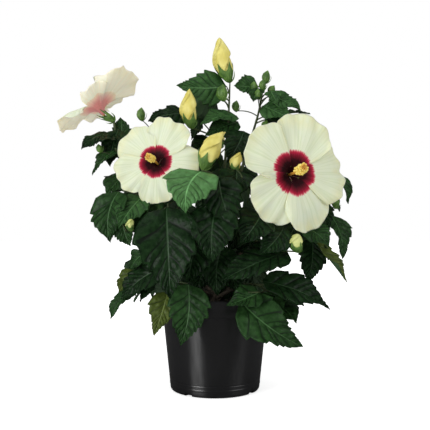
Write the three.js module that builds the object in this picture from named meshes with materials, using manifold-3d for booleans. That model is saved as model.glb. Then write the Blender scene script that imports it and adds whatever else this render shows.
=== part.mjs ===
// A hibiscus shrub in its round nursery pot, in millimetres, +Z up, seen from the front along +Y.
// The origin is the middle of the pot's flat underside.
import * as THREE from 'three';
import { mergeVertices } from 'three/addons/utils/BufferGeometryUtils.js';
import Module from 'manifold-3d';

const wasm = await Module();
wasm.setup();

// Driving dimensions
const GAP = 0.3;
const SLIVER = 0.05;
const POT_HEIGHT = 147;
const POT_RIM_RADIUS = 86;
const POT_BASE_RADIUS = 66;
const POT_WALL = 2;
const POT_BAND_HEIGHT = 25;
const POT_BAND_STEP = 1.6;
const POT_CORNER = 6;
const POT_SIDES = 32;
const DRAIN_WIDTH = 12;
const DRAIN_HEIGHT = 5;
const DRAIN_DEPTH = 9;
const DRAIN_FIRST_DEG = -36;
const SOIL_TOP = 128;
const TRUNK_TIP = [4, 5, 204];
const TRUNK_FOOT_RADIUS = 6.2;
const TRUNK_TIP_RADIUS = 4.6;
const TRUNK_FLARE = 3.4;
const BOUGH_FOOT_RADIUS = 3.4;
const BOUGH_TIP_RADIUS = 2.5;
const STEM_TIP_RADIUS = 1.5;
const TWIG_RADIUS = 1.9;
const PETIOLE_RADIUS = 1.1;
const LEAF_THICKNESS = 1.6;
const PETAL_THICKNESS = 1.2;
const PETAL_LAP = 3;
const PETAL_NOTCH = 0.16;
const PETAL_DEPTH = 0.26;
const THROAT_SLOPE_DEG = 16;
const MARGIN_DROOP_DEG = 8;
const LEAF_BROADEST = 0.33;
const LEAF_ROUNDNESS = 0.58;
const LEAF_TRIES = 500;
const LEAF_SPACING = 21;
const LIMB_CLEARANCE = 5;
const ROOT_SPACING = 4;
const STEM_STEPS = 5;
const PETAL_CLEARANCE = 9;
const POT_CLEARANCE = 8;
const TOUCH_RANGE = 1;
const FULL_TURN = 2 * Math.PI;
const GOLDEN_ANGLE = THREE.MathUtils.degToRad(137.5);
const UP = new THREE.Vector3(0, 0, 1);

// Stations along a leaf's blade, and across and along a petal, as fractions
const LEAF_STATIONS = [0.3, 0.66, 1];
const PETAL_COLUMNS = [-1, -0.5, 0, 0.5, 1];
const PETAL_ROWS = [0, 0.2, 0.45, 0.75, 1];

// The front view: where its eye stands, the crown's edges there (height, left, right at depth 0),
// and the round gaps where sky shows through (x, z, radius at depth 0)
const EYE = [0, -1106, 273];
const CROWN_EDGES = [
  [92, -100, 135], [125, -118, 142], [155, -150, 168], [185, -148, 180], [212, -128, 195],
  [235, -138, 204], [262, -184, 198], [300, -180, 202], [340, -162, 208], [380, -174, 205],
  [410, -165, 180], [430, -120, 128], [470, -52, 98], [500, -20, 90],
];
const SKY_GAPS = [
  [122, 190, 25], [148, 160, 22], [-23, 396, 9], [43, 404, 11], [62, 438, 24], [-158, 345, 16],
];

// Each mass of foliage: the trunk fraction its bough leaves from, the joint where the bough ends,
// the tip of the mass's own stem, and its space as an ellipsoid with a centre and a reach.
// A placed leaf is base, tip, width, the way its upper side faces, then its curl and fold in degrees.
// A bud is the foot of its calyx, its tip and its radius.
const MASSES = [
  {
    name: 'top', leafScale: 0.8, fork: 1, joint: [14, 10, 330], tip: [23, 7, 470],
    centre: [10, 5, 425], reach: [78, 52, 85], twigs: 2, leaves: 6,
    placed: [
      [[11, 8, 478], [-60, -22, 474], 52, [-0.1, -0.9, 0.35], 12, 4],
      [[35, 6, 430], [-23, -24, 413], 46, [-0.1, -0.65, 0.75], 30, 8],
      [[37, 14, 422], [-16, -8, 397], 46, [-0.1, -0.75, 0.6], 25, 8],
      [[-4, 22, 396], [-38, 2, 364], 44, [-0.1, -0.8, 0.6], 25, 8],
      [[-27, 22, 430], [-38, 8, 392], 22, [-0.3, -0.9, 0.3], 20, 8],
    ],
    buds: [
      [[24, 0, 481], [7, 0, 556], 15], [[13, -15, 449], [13, -16, 477], 9],
      [[-36, -24, 405], [-39, -32, 467], 13],
    ],
  },
  {
    name: 'top_right', leafScale: 0.62, fork: 0.93, joint: [40, 26, 335], tip: [76, 18, 478],
    centre: [92, 15, 445], reach: [66, 45, 66], twigs: 2, leaves: 3,
    placed: [
      [[70, 32, 482], [30, 6, 481], 44, [0, -0.6, 0.75], 15, 8],
      [[90, 15, 459], [135, 0, 438], 38, [0.3, -0.6, 0.75], 60, 6],
      [[78, 6, 444], [119, -14, 423], 40, [0.1, -0.8, 0.6], 35, 8],
      [[109, 28, 435], [152, 8, 434], 38, [0, -0.12, 1], 30, 6],
      [[112, 18, 425], [74, 2, 406], 36, [0, -0.8, 0.6], 30, 8],
      [[88, 4, 470], [98, -12, 446], 24, [0.2, -0.9, 0.4], 25, 8],
    ],
    buds: [
      [[82, 18, 483], [85, 16, 505], 6.5], [[88, 14, 464], [95, 12, 480], 6],
      [[66, 16, 470], [62, 14, 487], 6], [[34, 20, 438], [35, 18, 457], 6], [[80, 2, 408], [82, 0, 423], 6],
      [[76, 4, 469], [77, 1, 488], 5.5], [[70, 0, 455], [68, -4, 472], 5],
    ],
  },
  {
    name: 'upper_left', leafScale: 0.85, fork: 0.86, joint: [-60, 20, 300], tip: [-92, 26, 400],
    centre: [-72, 18, 385], reach: [62, 48, 75], twigs: 1, leaves: 8,
    placed: [
      [[-45, 24, 436], [-107, 8, 424], 50, [-0.2, -0.5, 0.85], 35, -15],
    ],
    buds: [[[-117, 20, 423], [-118, 19, 446], 7]],
  },
  {
    name: 'far_left', leafScale: 0.7, fork: 0.72, joint: [-108, 10, 285], tip: [-158, 15, 388],
    centre: [-150, 5, 365], reach: [62, 52, 66], twigs: 2, leaves: 3,
    placed: [
      [[-154, 5, 397], [-206, -30, 374], 48, [-0.2, -0.6, 0.75], 75, -8],
      [[-151, -5, 381], [-189, -32, 334], 36, [-0.5, -0.6, 0.6], 30, 8],
      [[-153, 0, 408], [-164, -14, 348], 44, [-0.3, -0.9, 0.3], 25, 8],
      [[-153, 20, 390], [-154, 30, 432], 34, [-0.2, -0.9, 0.3], 10, 8],
    ],
    buds: [[[-176, -18, 369], [-181, -22, 383], 5]],
  },
  {
    name: 'left', leafScale: 0.95, fork: 0.52, joint: [-84, -28, 226], tip: [-142, -38, 296],
    centre: [-125, -42, 272], reach: [66, 62, 68], twigs: 3, leaves: 8,
    placed: [
      [[-138, -2, 338], [-169, -24, 301], 52, [-0.5, -0.7, 0.5], 40, 8],
      [[-147, -42, 309], [-156, -62, 231], 62, [-0.35, -0.85, 0.35], 35, 10],
      [[-110, -46, 301], [-142, -80, 253], 52, [-0.2, -0.8, 0.5], 35, 8],
      [[-140, -55, 265], [-125, -68, 226], 34, [-0.4, -0.85, 0.3], 20, 12],
    ],
    buds: [[[-122, -92, 249], [-121, -95, 267], 6]],
  },
  {
    name: 'front_left', leafScale: 1.05, fork: 0.6, joint: [-44, -60, 215], tip: [-68, -92, 290],
    centre: [-62, -105, 240], reach: [66, 66, 92], twigs: 2, leaves: 8,
    placed: [
      [[-69, -115, 284], [-59, -150, 159], 98, [-0.1, -0.95, 0.3], 38, 10],
      [[-26, -96, 240], [-38, -126, 177], 64, [0, -0.9, 0.4], 35, 10],
    ],
    buds: [],
  },
  {
    name: 'front', leafScale: 0.95, fork: 0.78, joint: [4, -58, 235], tip: [6, -86, 330],
    centre: [10, -90, 300], reach: [66, 68, 92], twigs: 3, leaves: 8,
    placed: [
      [[-20, -98, 336], [-40, -152, 275], 76, [0, -0.8, 0.6], 35, 6],
      [[6, -88, 328], [30, -118, 246], 60, [0.1, -0.9, 0.4], 35, 10],
      [[31, -70, 340], [20, -98, 298], 56, [0.1, -0.8, 0.6], 30, 8],
      [[1, -108, 283], [-4, -146, 206], 72, [0.1, -0.9, 0.4], 35, 10],
      [[45, -12, 404], [18, -44, 352], 50, [0.1, -0.85, 0.5], 25, 8],
      [[12, -80, 228], [4, -102, 156], 58, [0, -0.95, 0.3], 30, 8],
      [[4, -46, 372], [-36, -58, 326], 46, [-0.1, -0.85, 0.5], 20, 8],
    ],
    buds: [[[-19, -75, 338], [12, -76, 396], 15], [[29, -60, 336], [38, -61, 367], 9]],
  },
  {
    name: 'front_right', leafScale: 0.95, fork: 0.42, joint: [46, -46, 198], tip: [90, -78, 250],
    centre: [72, -88, 235], reach: [74, 62, 66], twigs: 2, leaves: 8,
    placed: [
      [[106, -86, 219], [9, -130, 182], 66, [0.1, -0.6, 0.8], 25, 10],
      [[105, -84, 257], [65, -116, 216], 56, [0.1, -0.85, 0.5], 25, 8],
      [[69, -80, 277], [35, -118, 232], 60, [0.1, -0.85, 0.5], 30, 8],
    ],
    buds: [[[122, -80, 217], [122, -81, 244], 9]],
  },
  {
    name: 'right', leafScale: 0.9, fork: 0.66, joint: [86, -12, 236], tip: [176, -14, 306],
    centre: [160, -28, 262], reach: [66, 64, 92], twigs: 3, leaves: 10,
    placed: [
      [[202, 5, 335], [210, -5, 290], 40, [0.7, -0.5, 0.4], 30, 10],
      [[181, -15, 273], [194, -42, 205], 46, [0.6, -0.65, 0.5], 35, 10],
      [[147, -48, 237], [137, -66, 171], 46, [0.1, -0.95, 0.3], 25, 10],
      [[150, -55, 232], [195, -72, 174], 40, [0.65, -0.2, 0.6], 40, 12],
      [[134, -60, 254], [168, -78, 225], 44, [0.1, -0.8, 0.6], 25, 8],
    ],
    buds: [[[187, -12, 282], [194, -10, 298], 6]],
  },
  {
    name: 'low_left', leafScale: 0.95, fork: 0.22, joint: [-48, -42, 168], tip: [-104, -66, 196],
    centre: [-96, -72, 160], reach: [72, 58, 74], twigs: 2, leaves: 7,
    placed: [
      [[-39, -98, 174], [-49, -122, 88], 60, [0, -0.97, 0.25], 30, 8],
      [[-69, -84, 161], [-88, -100, 99], 44, [-0.3, -0.9, 0.3], 25, 8],
      [[-127, -50, 157], [-155, -68, 118], 34, [-0.5, -0.6, 0.6], 85, 8],
      [[-122, -48, 190], [-144, -62, 158], 40, [-0.4, -0.75, 0.6], 25, 8],
      [[-77, -90, 196], [-139, -74, 148], 58, [-0.2, -0.75, 0.65], 30, 8],
      [[-105, -82, 216], [-125, -70, 192], 32, [-0.3, -0.8, 0.5], 20, 10],
    ],
    buds: [],
  },
  {
    name: 'low_right', leafScale: 1.0, fork: 0.16, joint: [42, -44, 166], tip: [84, -78, 178],
    centre: [86, -88, 145], reach: [96, 58, 66], twigs: 2, leaves: 6,
    placed: [
      [[68, -88, 177], [169, -84, 135], 64, [0.3, -0.6, 0.75], 40, 8],
      [[36, -100, 150], [125, -120, 87], 74, [0.3, -0.9, 0.5], 25, 8],
      [[65, -100, 162], [16, -118, 145], 44, [0, -0.7, 0.7], 30, 8],
    ],
    buds: [],
  },
  {
    name: 'back_left', leafScale: 1.18, fork: 0.58, joint: [-62, 60, 240], tip: [-104, 104, 345],
    centre: [-92, 88, 300], reach: [86, 84, 98], twigs: 4, leaves: 15, placed: [], buds: [],
  },
  {
    name: 'back_right', leafScale: 1.18, fork: 0.48, joint: [64, 62, 238], tip: [110, 100, 345],
    centre: [98, 86, 298], reach: [90, 84, 96], twigs: 4, leaves: 15, placed: [], buds: [],
  },
  {
    name: 'back', leafScale: 1.15, fork: 0.82, joint: [0, 70, 262], tip: [2, 112, 375],
    centre: [2, 112, 330], reach: [84, 80, 92], twigs: 4, leaves: 14, placed: [],
    buds: [[[8, 118, 388], [12, 126, 436], 12], [[-8, 112, 384], [-16, 116, 402], 6]],
  },
  {
    name: 'low_back_left', leafScale: 1.12, fork: 0.3, joint: [-42, 44, 172], tip: [-88, 88, 198],
    centre: [-80, 84, 172], reach: [92, 80, 72], twigs: 3, leaves: 14, placed: [], buds: [],
  },
  {
    name: 'low_back_right', leafScale: 1.12, fork: 0.1, joint: [44, 46, 170], tip: [90, 90, 196],
    centre: [82, 84, 170], reach: [92, 80, 72], twigs: 3, leaves: 14, placed: [], buds: [],
  },
];

// Each open flower: the mass whose stem carries it, the middle of its throat, the way it faces,
// its radius, its turn in degrees, the flare of its petals and the lean of its column. Its calyx lies
// behind it along its axis, or comes from the side where calyxFrom says so.
const FLOWERS = [
  { name: 'front_right', mass: 'right', throat: [116, -90, 334], faces: [0.41, -0.9, 0.12], radius: 86,
    turn: 6, flare: 88, columnLean: [-10, 0, 0] },
  { name: 'front_left', mass: 'upper_left', throat: [-89, -58, 353], faces: [-0.2, -0.95, 0.23], radius: 65,
    turn: 62, flare: 84, columnLean: [-2, 0, -3] },
  { name: 'far_left', mass: 'far_left', throat: [-188, 24, 449], faces: [-0.5, 0.12, 0.85], radius: 71,
    turn: 20, flare: 76, columnLean: [0, 0, 0], calyxFrom: [18, 0, -9], atTip: true },
];

// Each finish: its colour and its roughness
const FINISHES = {
  pot: [0x1e1e20, 0.38],
  soil: [0x2d211a, 0.95],
  bark: [0x6b5b45, 0.85],
  leaf: [0x2c5230, 0.4],
  petal: [0xeceed5, 0.6],
};

const vector = (p) => new THREE.Vector3(...p);

// The same whole-number generator each time, so the plant grows alike on every run
function seeded(seed) {
  let state = seed >>> 0;
  return () => {
    state = (state + 0x6d2b79f5) >>> 0;
    let mixed = Math.imul(state ^ (state >>> 15), state | 1);
    mixed ^= mixed + Math.imul(mixed ^ (mixed >>> 7), mixed | 61);
    return ((mixed ^ (mixed >>> 14)) >>> 0) / 4294967296;
  };
}

// A closed geometry as a solid, its faces turned outward
function solid(geometry) {
  geometry.deleteAttribute('normal');
  geometry.deleteAttribute('uv');
  const merged = mergeVertices(geometry, 1e-4);
  const at = merged.attributes.position;
  const corners = merged.index.array;
  const faces = [];
  const [a, b, c] = [new THREE.Vector3(), new THREE.Vector3(), new THREE.Vector3()];
  let volume = 0;
  for (let i = 0; i < corners.length; i += 3) {
    const [p, q, r] = [corners[i], corners[i + 1], corners[i + 2]];
    if (p === q || q === r || r === p) continue;
    faces.push([p, q, r]);
    a.fromBufferAttribute(at, p);
    b.fromBufferAttribute(at, q);
    c.fromBufferAttribute(at, r);
    volume += a.dot(b.cross(c));
  }
  const outward = volume < 0 ? faces.map(([p, q, r]) => [p, r, q]) : faces;
  const triVerts = Uint32Array.from(outward.flat());
  return new wasm.Manifold(new wasm.Mesh({ numProp: 3, vertProperties: at.array, triVerts }));
}

// Pieces joined into one body, its sealed hollows filled, slivers and loose scraps dropped
function fuse(pieces) {
  return largest(wasm.Manifold.union(pieces)).simplify(SLIVER);
}

function largest(body) {
  return body.decompose().reduce((best, part) => (part.volume() > best.volume() ? part : best));
}

function named(body, name, finish) {
  const { vertProperties, triVerts } = body.getMesh();
  const geometry = new THREE.BufferGeometry();
  geometry.setAttribute('position', new THREE.BufferAttribute(Float32Array.from(vertProperties), 3));
  geometry.setIndex(new THREE.BufferAttribute(Uint32Array.from(triVerts), 1));
  geometry.computeVertexNormals();
  const [color, roughness] = FINISHES[finish];
  const mesh = new THREE.Mesh(geometry, new THREE.MeshStandardMaterial({ color, roughness, metalness: 0 }));
  mesh.name = name;
  return mesh;
}

// A closed profile of radius and height turned about +Z
function turned(profile, sides) {
  const geometry = new THREE.LatheGeometry(profile.map(([r, h]) => new THREE.Vector2(r, h)), sides);
  geometry.rotateX(Math.PI / 2);
  return solid(geometry);
}

// A round bar with both ends closed, bent along a curve, its radius given along it
function limb(curve, radiusAt, sides, steps) {
  const geometry = new THREE.CylinderGeometry(1, 1, 1, sides, steps);
  const frames = curve.computeFrenetFrames(steps);
  const centres = curve.getSpacedPoints(steps);
  const at = geometry.attributes.position;
  for (let i = 0; i < at.count; i += 1) {
    const ring = Math.round((at.getY(i) + 0.5) * steps);
    const radius = radiusAt(ring / steps);
    const point = centres[ring].clone();
    point.addScaledVector(frames.normals[ring], at.getX(i) * radius);
    point.addScaledVector(frames.binormals[ring], -at.getZ(i) * radius);
    at.setXYZ(i, point.x, point.y, point.z);
  }
  return solid(geometry);
}

const taper = (foot, tip) => (t) => foot + (tip - foot) * t;

// A leaf's own axes: along its chord, up from its blade and across it, and its arc
function leafFrame(leaf) {
  const chord = leaf.tip.clone().sub(leaf.base);
  const length = chord.length();
  const ahead = chord.normalize();
  const normal = leaf.facing.clone().addScaledVector(ahead, -leaf.facing.dot(ahead)).normalize();
  const aside = ahead.clone().cross(normal);
  const curl = THREE.MathUtils.degToRad(leaf.curl);
  return { ahead, normal, aside, length, curl, arcRadius: length / (2 * Math.sin(curl / 2)) };
}

// Half the blade's width at u from base to tip: u^a (1 - u)^b, with b set so that it is broadest at
// LEAF_BROADEST
function halfWidth(leaf, u) {
  const tipPower = (LEAF_ROUNDNESS * (1 - LEAF_BROADEST)) / LEAF_BROADEST;
  const towardsBase = (u / LEAF_BROADEST) ** LEAF_ROUNDNESS;
  const towardsTip = ((1 - u) / (1 - LEAF_BROADEST)) ** tipPower;
  return (leaf.width / 2) * towardsBase * towardsTip;
}

// The point u along and v across a leaf: an arc through base and tip, folded up along its midrib
function leafPoint(leaf, frame, u, v, lift = 0) {
  const turn = frame.curl * (u - 0.5);
  const out = frame.normal.clone().multiplyScalar(Math.cos(turn))
    .addScaledVector(frame.ahead, Math.sin(turn));
  const half = halfWidth(leaf, u) * v;
  const fold = THREE.MathUtils.degToRad(leaf.fold);
  return leaf.base.clone()
    .addScaledVector(frame.ahead, frame.arcRadius * (Math.sin(turn) + Math.sin(frame.curl / 2)))
    .addScaledVector(frame.normal, frame.arcRadius * (Math.cos(turn) - Math.cos(frame.curl / 2)))
    .addScaledVector(frame.aside, half * Math.cos(fold))
    .addScaledVector(out, Math.abs(half) * Math.sin(fold) + lift);
}

// A leaf and its stalk as one body: rings of three points, on the blade two at its edges and one under its
// midrib
function stalkedLeaf(leaf, root) {
  const frame = leafFrame(leaf);
  const rising = leaf.base.clone().sub(root.point).normalize();
  const turning = rising.clone().addScaledVector(frame.ahead, 0.5).normalize();
  const stalkRings = [squareTo(rising, frame.aside), squareTo(turning, frame.aside)];
  const rings = 2 + LEAF_STATIONS.length;
  const geometry = new THREE.CylinderGeometry(1, 1, 1, 3, rings - 1);
  const at = geometry.attributes.position;
  for (let i = 0; i < at.count; i += 1) {
    const ring = Math.round((at.getY(i) + 0.5) * (rings - 1));
    const aside = at.getX(i);
    const lift = -at.getZ(i);
    let point;
    if (ring < 2) {
      const radius = ring === 0 ? 0.6 * PETIOLE_RADIUS : PETIOLE_RADIUS;
      point = (ring === 0 ? root.point : leaf.base).clone()
        .addScaledVector(stalkRings[ring][0], aside * radius)
        .addScaledVector(stalkRings[ring][1], lift * radius);
    } else {
      const edge = Math.sign(Math.round(aside));
      point = leafPoint(leaf, frame, LEAF_STATIONS[ring - 2], edge, (lift * LEAF_THICKNESS * 2) / 3);
    }
    at.setXYZ(i, point.x, point.y, point.z);
  }
  return solid(geometry);
}

// Two unit vectors square to a direction and to each other, the first as near as can be to a given one
function squareTo(direction, near) {
  const across = near.clone().addScaledVector(direction, -near.dot(direction));
  if (across.length() < 0.25) across.copy(sideways(direction, 0));
  across.normalize();
  return [across, across.clone().cross(direction)];
}

function leafSamples(leaf) {
  const frame = leafFrame(leaf);
  return [0.1, 0.3, 0.5, 0.7, 0.95].flatMap((u) => [-1, 0, 1].map((v) => leafPoint(leaf, frame, u, v)));
}

const leafMiddle = (leaf) => leafPoint(leaf, leafFrame(leaf), 0.45, 0);

function placedLeaf([base, tip, width, facing, curl, fold]) {
  return { base: vector(base), tip: vector(tip), width, facing: vector(facing), curl, fold };
}

// The straight runs between a limb's rings, so that what roots on them sits inside the limb
function rail(curve, steps) {
  const path = new THREE.CurvePath();
  const rings = curve.getSpacedPoints(steps);
  rings.slice(1).forEach((ring, i) => path.add(new THREE.LineCurve3(rings[i], ring)));
  return path;
}

// The trunk and the limbs. A bough runs from inside the trunk to its joint, and the mass's stem goes on
// along the same heading from just past the joint.
const trunkCurve = new THREE.CubicBezierCurve3(
  vector([0, 0, SOIL_TOP + GAP]), vector([0, 0, SOIL_TOP + 22]), vector([-4, 3, 180]), vector(TRUNK_TIP));

function trunkRadius(t) {
  return taper(TRUNK_FOOT_RADIUS, TRUNK_TIP_RADIUS)(t) + TRUNK_FLARE * Math.exp(-t * 9);
}

// A curve that leaves its foot along one heading and reaches its end along another
function bentCurve(foot, leaving, leavingReach, end, arriving, arrivingReach) {
  const afterFoot = foot.clone().addScaledVector(leaving, leavingReach);
  const beforeEnd = end.clone().addScaledVector(arriving, -arrivingReach);
  return new THREE.CubicBezierCurve3(foot, afterFoot, beforeEnd, end);
}

function growLimbs(mass, index) {
  const joint = vector(mass.joint);
  const tip = vector(mass.tip);
  const foot = mass.fork === 1
    ? vector(TRUNK_TIP).addScaledVector(trunkCurve.getTangent(1), GAP)
    : trunkCurve.getPointAt(mass.fork);
  const reach = tip.distanceTo(joint);
  const away = joint.clone().sub(foot);
  const span = away.length();
  const heading = tip.clone().sub(joint).normalize().addScaledVector(away.normalize(), 0.6).normalize();
  const start = mass.fork === 1
    ? trunkCurve.getTangent(1)
    : new THREE.Vector3(away.x, away.y, Math.max(away.z, 0.25)).normalize();
  mass.bough = bentCurve(foot, start, span * 0.35, joint, heading, span * 0.3);
  const begin = joint.clone().addScaledVector(heading, GAP);
  mass.stem = bentCurve(begin, heading, reach * 0.35, tip, UP, reach * 0.25);
  mass.space = { centre: vector(mass.centre), reach: vector(mass.reach) };
  mass.seed = 1000 * (index + 1);
  mass.axes = [rail(mass.stem, STEM_STEPS)];
  mass.blades = [];
  mass.roots = [];
  mass.pieces = [limb(mass.stem, taper(BOUGH_TIP_RADIUS, STEM_TIP_RADIUS), 4, STEM_STEPS)];
}

MASSES.forEach(growLimbs);
const massNamed = (name) => MASSES.find((mass) => mass.name === name);
const limbPoints = [trunkCurve, ...MASSES.map((mass) => mass.bough), ...MASSES.map((mass) => mass.stem)]
  .flatMap((curve) => curve.getSpacedPoints(16));

function inSpace(mass, point) {
  return point.clone().sub(mass.space.centre).divide(mass.space.reach).length() < 1;
}

// Where a point shows in the front view, moved along the line of sight to depth 0
function frontView(point) {
  const scale = -EYE[1] / (point.y - EYE[1]);
  return { x: point.x * scale, z: EYE[2] + (point.z - EYE[2]) * scale };
}

function insideOutline(point) {
  const { x, z } = frontView(point);
  const next = CROWN_EDGES.findIndex(([height]) => height > z);
  if (next < 1) return false;
  const [low, lowLeft, lowRight] = CROWN_EDGES[next - 1];
  const [high, highLeft, highRight] = CROWN_EDGES[next];
  const t = (z - low) / (high - low);
  const within = x > lowLeft + (highLeft - lowLeft) * t && x < lowRight + (highRight - lowRight) * t;
  return within && SKY_GAPS.every(([gapX, gapZ, radius]) => Math.hypot(x - gapX, z - gapZ) > radius);
}

// Twigs branch from the stem by the golden angle, and one that would leave the space is skipped
function growTwigs(mass) {
  for (let i = 0; i < mass.twigs; i += 1) {
    const draw = seeded(mass.seed + 500 + i);
    const t = 0.2 + (0.6 * (i + draw())) / mass.twigs;
    const foot = mass.axes[0].getPoint(t);
    const along = mass.stem.getTangent(t);
    const side = sideways(along, GOLDEN_ANGLE * i + FULL_TURN * seeded(mass.seed)());
    const length = 34 + 26 * draw();
    const tip = foot.clone().addScaledVector(along, length * 0.45).addScaledVector(side, length * 0.85);
    const knee = foot.clone().addScaledVector(side, length * 0.5).addScaledVector(along, length * 0.1);
    const clear = limbPoints.every((point) => point.distanceTo(tip) > 3 * LIMB_CLEARANCE);
    if (!inSpace(mass, tip) || !insideOutline(tip) || !clear) continue;
    const twig = new THREE.QuadraticBezierCurve3(foot, knee, tip);
    mass.axes.push(rail(twig, 3));
    mass.pieces.push(limb(twig, taper(TWIG_RADIUS, TWIG_RADIUS * 0.8), 3, 3));
  }
}

// A unit vector square to a direction, at an angle round it
function sideways(along, angle) {
  const reference = Math.abs(along.z) < 0.9 ? UP : new THREE.Vector3(1, 0, 0);
  const across = new THREE.Vector3().crossVectors(along, reference).normalize();
  const other = new THREE.Vector3().crossVectors(along, across);
  return across.multiplyScalar(Math.cos(angle)).addScaledVector(other, Math.sin(angle));
}

// The point on a mass's stem or twigs that a stalk would come from: near its end, lower, and not yet used
function stalkRoot(mass, end) {
  let best = null;
  for (const curve of mass.axes) {
    for (let t = 0.04; t < 1; t += 0.04) {
      const point = curve.getPoint(t);
      const crowded = mass.roots.filter((root) => root.distanceTo(point) < ROOT_SPACING).length;
      const cost = point.distanceTo(end) + 1.2 * Math.max(0, point.z + 8 - end.z) + 20 * crowded;
      if (!best || cost < best.cost) best = { point, cost, along: curve.getTangent(t) };
    }
  }
  mass.roots.push(best.point);
  return best;
}

function stalk(root, end, radius, steps) {
  const span = end.distanceTo(root.point);
  const knee = root.point.clone().lerp(end, 0.45).addScaledVector(root.along, span * 0.2);
  const curve = new THREE.QuadraticBezierCurve3(root.point, knee, end);
  return limb(curve, (t) => radius * Math.min(1, 0.6 + 2 * t), 3, steps);
}

// Petals: from the foot the slope turns from nearly along the flower's axis to its flare
function petalProfile(flower, u) {
  const steps = 12;
  const length = flower.radius * 1.09;
  let [radius, height] = [1.5, 0];
  for (let i = 0; i < steps; i += 1) {
    const slope = petalSlope(flower, (u * (i + 0.5)) / steps);
    radius += (Math.sin(slope) * length * u) / steps;
    height += (Math.cos(slope) * length * u) / steps;
  }
  return { radius, height, slope: petalSlope(flower, u) };
}

function petalSlope(flower, u) {
  const opening = THREE.MathUtils.smoothstep(u, 0, 0.42);
  const degrees = THROAT_SLOPE_DEG + (flower.flare - THROAT_SLOPE_DEG) * opening + MARGIN_DROOP_DEG * u;
  return THREE.MathUtils.degToRad(degrees);
}

// The five petals as one flared ring: a strip that goes out along the front and back along the back, taken
// round the flower. Each petal laps over the next, and the margin dips between them.
function corollaSolid(flower) {
  const out = PETAL_ROWS.map((u) => [u, 0]);
  const strip = [...out, ...PETAL_ROWS.map((u) => [u, 1]).reverse(), out[0]];
  const columns = 5 * PETAL_COLUMNS.length;
  const geometry = new THREE.LatheGeometry(strip.map((_, i) => new THREE.Vector2(1, i)), columns);
  const at = geometry.attributes.position;
  for (let i = 0; i < at.count; i += 1) {
    const column = Math.floor(i / strip.length) % columns;
    const [u, side] = strip[i % strip.length];
    const v = PETAL_COLUMNS[column % PETAL_COLUMNS.length];
    const petal = Math.floor(column / PETAL_COLUMNS.length);
    const angle = THREE.MathUtils.degToRad(flower.turn + 72 * petal + 35.5 * v);
    const { radius, height, slope } = petalProfile(flower, u * (1 - PETAL_NOTCH * v ** 4 * u));
    const lift = side * PETAL_THICKNESS - v * u * PETAL_LAP;
    const outward = flower.across.clone().multiplyScalar(Math.cos(angle))
      .addScaledVector(flower.upright, Math.sin(angle));
    const point = flower.foot.clone()
      .addScaledVector(outward, radius + Math.cos(slope) * lift)
      .addScaledVector(flower.axis, height - Math.sin(slope) * lift);
    at.setXYZ(i, point.x, point.y, point.z);
  }
  return solid(geometry);
}

function aimed(body, from, direction) {
  const turn = new THREE.Quaternion().setFromUnitVectors(UP, direction.clone().normalize());
  const matrix = new THREE.Matrix4().compose(from, turn, new THREE.Vector3(1, 1, 1));
  return body.transform(matrix.elements);
}

function flowerSolid(flower) {
  const mass = massNamed(flower.mass);
  flower.axis = vector(flower.faces).normalize();
  flower.across = new THREE.Vector3(1, 0, 0).addScaledVector(flower.axis, -flower.axis.x).normalize();
  flower.upright = flower.across.clone().cross(flower.axis).normalize();
  if (flower.upright.z < 0) flower.upright.negate();
  flower.foot = vector(flower.throat).addScaledVector(flower.axis, -PETAL_DEPTH * flower.radius);
  const size = flower.radius / 80;
  const behind = flower.axis.clone().multiplyScalar(-16 * size);
  const calyxAway = flower.calyxFrom ? vector(flower.calyxFrom) : behind;
  const calyxFoot = flower.foot.clone().add(calyxAway);
  const calyxAxis = calyxAway.negate().normalize();
  const cup = [[0, -1], [3, 0], [7, 8], [8.5, 20], [9, 30], [0, 24]].map(([r, h]) => [r * size, h * size]);
  const calyx = aimed(turned(cup, 6), calyxFoot, calyxAxis);
  const columnTip = flower.foot.clone().addScaledVector(flower.axis, 62 * size)
    .add(vector(flower.columnLean));
  const knee = flower.foot.clone().addScaledVector(flower.axis, 34 * size);
  const columnCurve = new THREE.QuadraticBezierCurve3(flower.foot, knee, columnTip);
  const column = limb(columnCurve, (t) => (t < 0.55 ? 2.2 : 6.5) * size, 5, 5);
  const stemEnd = { point: mass.stem.getPoint(1), along: mass.stem.getTangent(1) };
  const root = flower.atTip ? stemEnd : stalkRoot(mass, calyxFoot);
  const away = flower.atTip ? root.along : calyxFoot.clone().sub(root.point).normalize();
  root.point.addScaledVector(away, GAP + (flower.atTip ? 0 : BOUGH_TIP_RADIUS));
  const stem = stalk(root, calyxFoot.clone().addScaledVector(calyxAxis, 3), 1.9, 5);
  return fuse([calyx, column, stem, corollaSolid(flower)]);
}

// A bud on its stalk: a leafy calyx round a rolled, pointed flower
function budSolid(mass, [foot, tip, radius]) {
  const from = vector(foot);
  const along = vector(tip).sub(from);
  const length = along.length();
  const profile = [[0, 0], [0.7, 0.06], [1, 0.4], [0.72, 0.74], [0, 1]];
  const body = aimed(turned(profile.map(([r, h]) => [r * radius, h * length]), 6), from, along);
  const seat = from.clone().addScaledVector(along.normalize(), Math.min(3, length * 0.12));
  return fuse([body, stalk(stalkRoot(mass, from), seat, 1.3, 2)]);
}

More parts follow.
